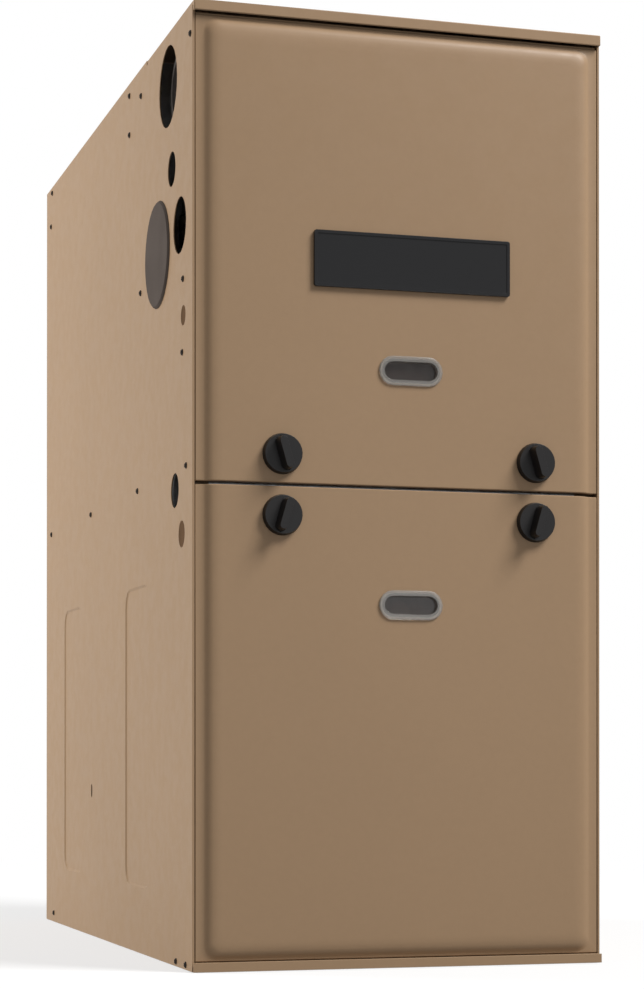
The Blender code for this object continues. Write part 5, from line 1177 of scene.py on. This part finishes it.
class FURNACE_OT_add_blower_wiring(bpy.types.Operator):
    """Add the wires between the board, the transformer, the motor, the switch and the junction box"""

    bl_idname = "furnace.add_blower_wiring"
    bl_label = "Blower compartment wiring"

    def execute(self, context):
        trunk = Vector((TRUNK.x, TRUNK.y, DECK_BELOW))
        for n, colour in enumerate(("yellow", "brown", "orange", "red", "white", "black", "green")):
            shift = Vector((math.cos(2.4 * n), math.sin(2.4 * n), 0)) * 0.0034
            end = board_spot(62, 15 - 5 * n, 9.5)
            points = [
                trunk + shift, trunk + shift - UP * 0.018, metres((134, -322, 418)) + shift,
                metres((108, -322.5, 392)) + shift * 0.8, metres((92, -322.5, 366 - 3 * n)) + shift * 0.5,
                end - BACK * 0.010 + RIGHT * 0.004, end,
            ]
            wire("harness_wire_%d" % (n + 1), points, colour)

        x, top = centre_of("transformer").x, high_corner("transformer").z - 0.006
        end, along = board_spot(35.5, 39.5, 12), (7.2, 0, 0)
        bundle("transformer_wire", ("black", "white", "red", "blue"), (
            (Vector((x - 0.015, -0.3060, top - 0.001)), (6, 0, 0)),
            (Vector((x - 0.016, -0.3130, top + 0.020)), (5, 0, 0)),
            (Vector((x - 0.034, -0.3200, 0.366)), (3, 0, 2)),
            (end + Vector((0.003, -0.005, 0.010)), along), (end, along),
        ))

        still = (0, 0, 0)
        can, can_top = centre_of("run_capacitor"), high_corner("run_capacitor").z
        motor, axis = low_corner("blower_motor").x + 0.003, centre_of("blower_motor")
        lead = settings("wires").lead_radius
        bundle("capacitor_lead", ("brown", "brown"), (
            (Vector((can.x - 0.005, can.y, can_top + 0.003)), (10, 0, 0)),
            (Vector((can.x - 0.005, can.y - 0.002, can_top + 0.016)), (10, 0, 0)),
            ((-118, -306, 381), (0, 4, 4)), ((-142, -278, 372), (0, 0, 4)), ((-158, -200, 340), (0, 0, 5)),
            ((-166, -100, 296), still), ((-168, -20, 268), (0, 0, 4)),
            (Vector((-0.166, axis.y - 0.020, axis.z + 0.052)), (0, 0, 4)),
            (Vector((motor, axis.y - 0.010, axis.z + 0.045)), (0, 10, 0)),
        ), lead)

        start, along = board_spot(-50, -42, 11), (10, 0, 0)
        bundle("motor_lead", ("black", "blue", "yellow", "red", "white"), (
            (start, along), (start + Vector((-0.004, -0.009, -0.004)), along),
            (start + Vector((-0.020, -0.011, -0.022)), (6, 0, 0)),
            ((-95, -303, 243), (-2, -2, 0)), ((-136, -282, 236), (0, 2, 2)), ((-158, -220, 232), (0, 0, 3)),
            ((-168, -110, 226), (0, 0, 3)), ((-170, -20, 222), (0, 0, 3)),
            (Vector((-0.168, axis.y - 0.024, 0.216)), (0, 0, 3)),
            (Vector((motor, axis.y - 0.040, axis.z + 0.010)), (0, 0, 2)),
        ), lead * 0.85)

        low, high = low_corner("door_switch"), high_corner("door_switch")
        height = low.z + 0.0055
        bundle("door_switch_wire", ("black", "black"), (
            (Vector((low.x + 0.002, high.y - 0.010, height)), (0, 0, 7)),
            (Vector((low.x - 0.009, high.y - 0.009, height)), (0, 0, 7)),
            (Vector((low.x - 0.026, high.y - 0.001, height + 0.012)), (0, 0, 3)),
            ((-30, -318, 385), (0, 0, 4)), ((-85, -318, 392), (0, 0, 3)), ((-122, -323.5, 400), (0, 0, 3)),
            ((-140, -320, 408), (0, 0, 2)), ((-152, -310, 412), still),
        ))

        for n, colour in enumerate(("black", "white", "green")):
            start = low_corner("junction_box") + metres((16 + 14 * n, 24, 16 if colour == "green" else 12))
            points = [
                start, start + Vector((0.004, -0.012, -0.002)), start + Vector((0.014, -0.0300, -0.001)),
                (-124, -330 + 2 * n, 392 - 3 * n), (-96, -329 + 2 * n, 386 - 3 * n), (-70, -325, 378),
                board_spot(-56 + 8 * n, 47, 20.5), board_spot(-56 + 8 * n, 37, 16.4),
            ]
            wire("supply_wire_%d" % (n + 1), points, colour, lead * 0.9)
        return {"FINISHED"}


class FURNACE_OT_add_door_clips(bpy.types.Operator):
    """Add the spring washers that hold the insulation inside the doors"""

    bl_idname = "furnace.add_door_clips"
    bl_label = "Insulation clips"

    def execute(self, context):
        for body in ("upper_door", "lower_door"):
            low, high = low_corner(body + "_insulation"), high_corner(body + "_insulation")
            left, right = low.x + 0.028, high.x - 0.028
            spots = rows_of((left, 0.0, right), high.y, (low.z + 0.030, high.z - 0.030))
            spots += rows_of((left, right), high.y, ((low.z + high.z) / 2,))
            washer = turned([(0, 2.2), (1.2, 2.1), (1.7, 0.9), (8.5, 0.9), (9.2, 0.2), (8, 0), (0, 0)], 20)
            fasten(body + "_clips", spots, BACK, washer, "zinc", body)
        return {"FINISHED"}


class FURNACE_OT_set_stage(bpy.types.Operator):
    """Set the floor, the lamps, the backdrop and the camera"""

    bl_idname = "furnace.set_stage"
    bl_label = "Stage"

    def execute(self, context):
        make_floor()
        make_lamps()
        make_backdrop(context.scene)
        make_camera(context.scene)
        context.scene.view_settings.view_transform = "Standard"
        return {"FINISHED"}


MIRRORED_SHARE = 0.3


def mirrored(tree, seen):
    """How much of the white a mirror or glass sees."""
    indirect = math_step(tree, "MAXIMUM", seen["Is Glossy Ray"], seen["Is Transmission Ray"])
    return math_step(tree, "MULTIPLY", indirect, MIRRORED_SHARE)


def make_floor():
    """A pale floor that keeps the shadow, turns white further off and throws little light back."""
    form = bmesh.new()
    bmesh.ops.create_grid(form, x_segments=2, y_segments=2, size=9)
    mesh = bpy.data.meshes.new("studio_floor")
    form.to_mesh(mesh)
    form.free()
    floor = bpy.data.objects.new("studio_floor", mesh)
    floor.location = (0, 0, -0.0005)
    bpy.context.scene.collection.objects.link(floor)
    pale, dim = (0.80, 0.80, 0.80), (0.25, 0.25, 0.25)
    made, tree, shader = blank_finish("floor_pale", pale, 0.9, Specular_IOR_Level=0.0)
    seen = add(tree, "LightPath").outputs
    put(tree, shader, "Base Color", mix_colour(tree, seen["Is Camera Ray"], (*dim, 1), (*pale, 1)))
    away = vector_step(tree, "LENGTH", object_place(tree)).outputs["Value"]
    direct = math_step(tree, "MULTIPLY", seen["Is Camera Ray"], between(tree, away, 0.5, 2.0, 0.62, 1.0))
    share = math_step(tree, "MAXIMUM", direct, mirrored(tree, seen))
    white = add(tree, "Emission", Color=(1, 1, 1, 1), Strength=1.0)
    blend_shaders(tree, share, shader, white, "Material Output")
    mesh.materials.append(made)


def lamp(name, place, aim, size, power, glossy=True):
    data = bpy.data.lights.new(name, "AREA")
    data.shape = "RECTANGLE"
    data.size, data.size_y = size
    data.energy = power
    made = bpy.data.objects.new(name, data)
    made.location = place
    made.rotation_euler = (Vector(aim) - Vector(place)).to_track_quat("-Z", "Y").to_euler()
    made.visible_glossy = glossy
    bpy.context.scene.collection.objects.link(made)


def make_lamps():
    middle = (0, 0, 0.42)
    lamp("key_lamp", (3.6, -3.2, 5.4), middle, (2.6, 2.6), 600)
    lamp("fill_lamp", (0.8, -4.6, 0.5), (0, -0.3, 0.2), (2.4, 1.4), 10)
    # no mirror image of the side lamp, or the flat top plate glares when it is seen from the right
    lamp("side_lamp", (-3.7, 2.5, 1.1), middle, (2.2, 2.2), 260, glossy=False)


def make_backdrop(scene):
    scene.world = bpy.data.worlds.new("studio_backdrop")
    scene.world.use_nodes = True
    tree = scene.world.node_tree
    soft = tree.nodes["Background"]
    put(tree, soft, "Color", (1, 1, 1, 1))
    put(tree, soft, "Strength", 0.34)
    white = add(tree, "Background", Color=(1, 1, 1, 1), Strength=1.0)
    seen = add(tree, "LightPath").outputs
    share = math_step(tree, "MAXIMUM", seen["Is Camera Ray"], mirrored(tree, seen))
    blend_shaders(tree, share, soft, white, "World Output")


def make_camera(scene):
    chosen = settings("stage")
    data = bpy.data.cameras.new("photo_camera")
    data.sensor_width = 36
    data.lens = chosen.lens
    data.shift_x = chosen.shift_x
    data.shift_y = chosen.shift_y
    data.clip_end = 50
    camera = bpy.data.objects.new("photo_camera", data)
    camera.location = chosen.camera_place
    camera.rotation_euler = chosen.camera_turn
    scene.collection.objects.link(camera)
    scene.camera = camera


class FURNACE_PT_panel(bpy.types.Panel):
    """Shows the furnace's settings and a button for each step"""

    bl_idname = "FURNACE_PT_panel"
    bl_label = "Gas furnace"
    bl_space_type = "VIEW_3D"
    bl_region_type = "UI"
    bl_category = "Furnace"

    def draw(self, context):
        for kind in GROUPS:
            column = self.layout.column()
            for key in GROUPS[kind].__annotations__:
                column.prop(settings(kind), key)
        for step in OPERATORS:
            self.layout.operator(step.bl_idname)


GROUPS = {
    "finish": FinishSettings,
    "fasteners": FastenerSettings,
    "wires": WireSettings,
    "stage": StageSettings,
}
OPERATORS = (
    FURNACE_OT_finish_solids,
    FURNACE_OT_add_side_screws,
    FURNACE_OT_add_knockouts,
    FURNACE_OT_add_cap_strip,
    FURNACE_OT_add_back_screws,
    FURNACE_OT_add_inner_screws,
    FURNACE_OT_add_gas_fittings,
    FURNACE_OT_add_vent_fittings,
    FURNACE_OT_add_burner_wiring,
    FURNACE_OT_add_board_parts,
    FURNACE_OT_add_blower_fittings,
    FURNACE_OT_add_blower_wiring,
    FURNACE_OT_add_door_clips,
    FURNACE_OT_set_stage,
)


def register():
    for kind, group in GROUPS.items():
        bpy.utils.register_class(group)
        setattr(bpy.types.Scene, "furnace_" + kind, PointerProperty(type=group))
    for kind in (*OPERATORS, FURNACE_PT_panel):
        bpy.utils.register_class(kind)


def unregister():
    for kind in (FURNACE_PT_panel, *reversed(OPERATORS)):
        bpy.utils.unregister_class(kind)
    for kind, group in GROUPS.items():
        delattr(bpy.types.Scene, "furnace_" + kind)
        bpy.utils.unregister_class(group)


def main():
    register()
    for step in OPERATORS:
        area, action = step.bl_idname.split(".")
        getattr(getattr(bpy.ops, area), action)()


if __name__ == "__main__":
    main()
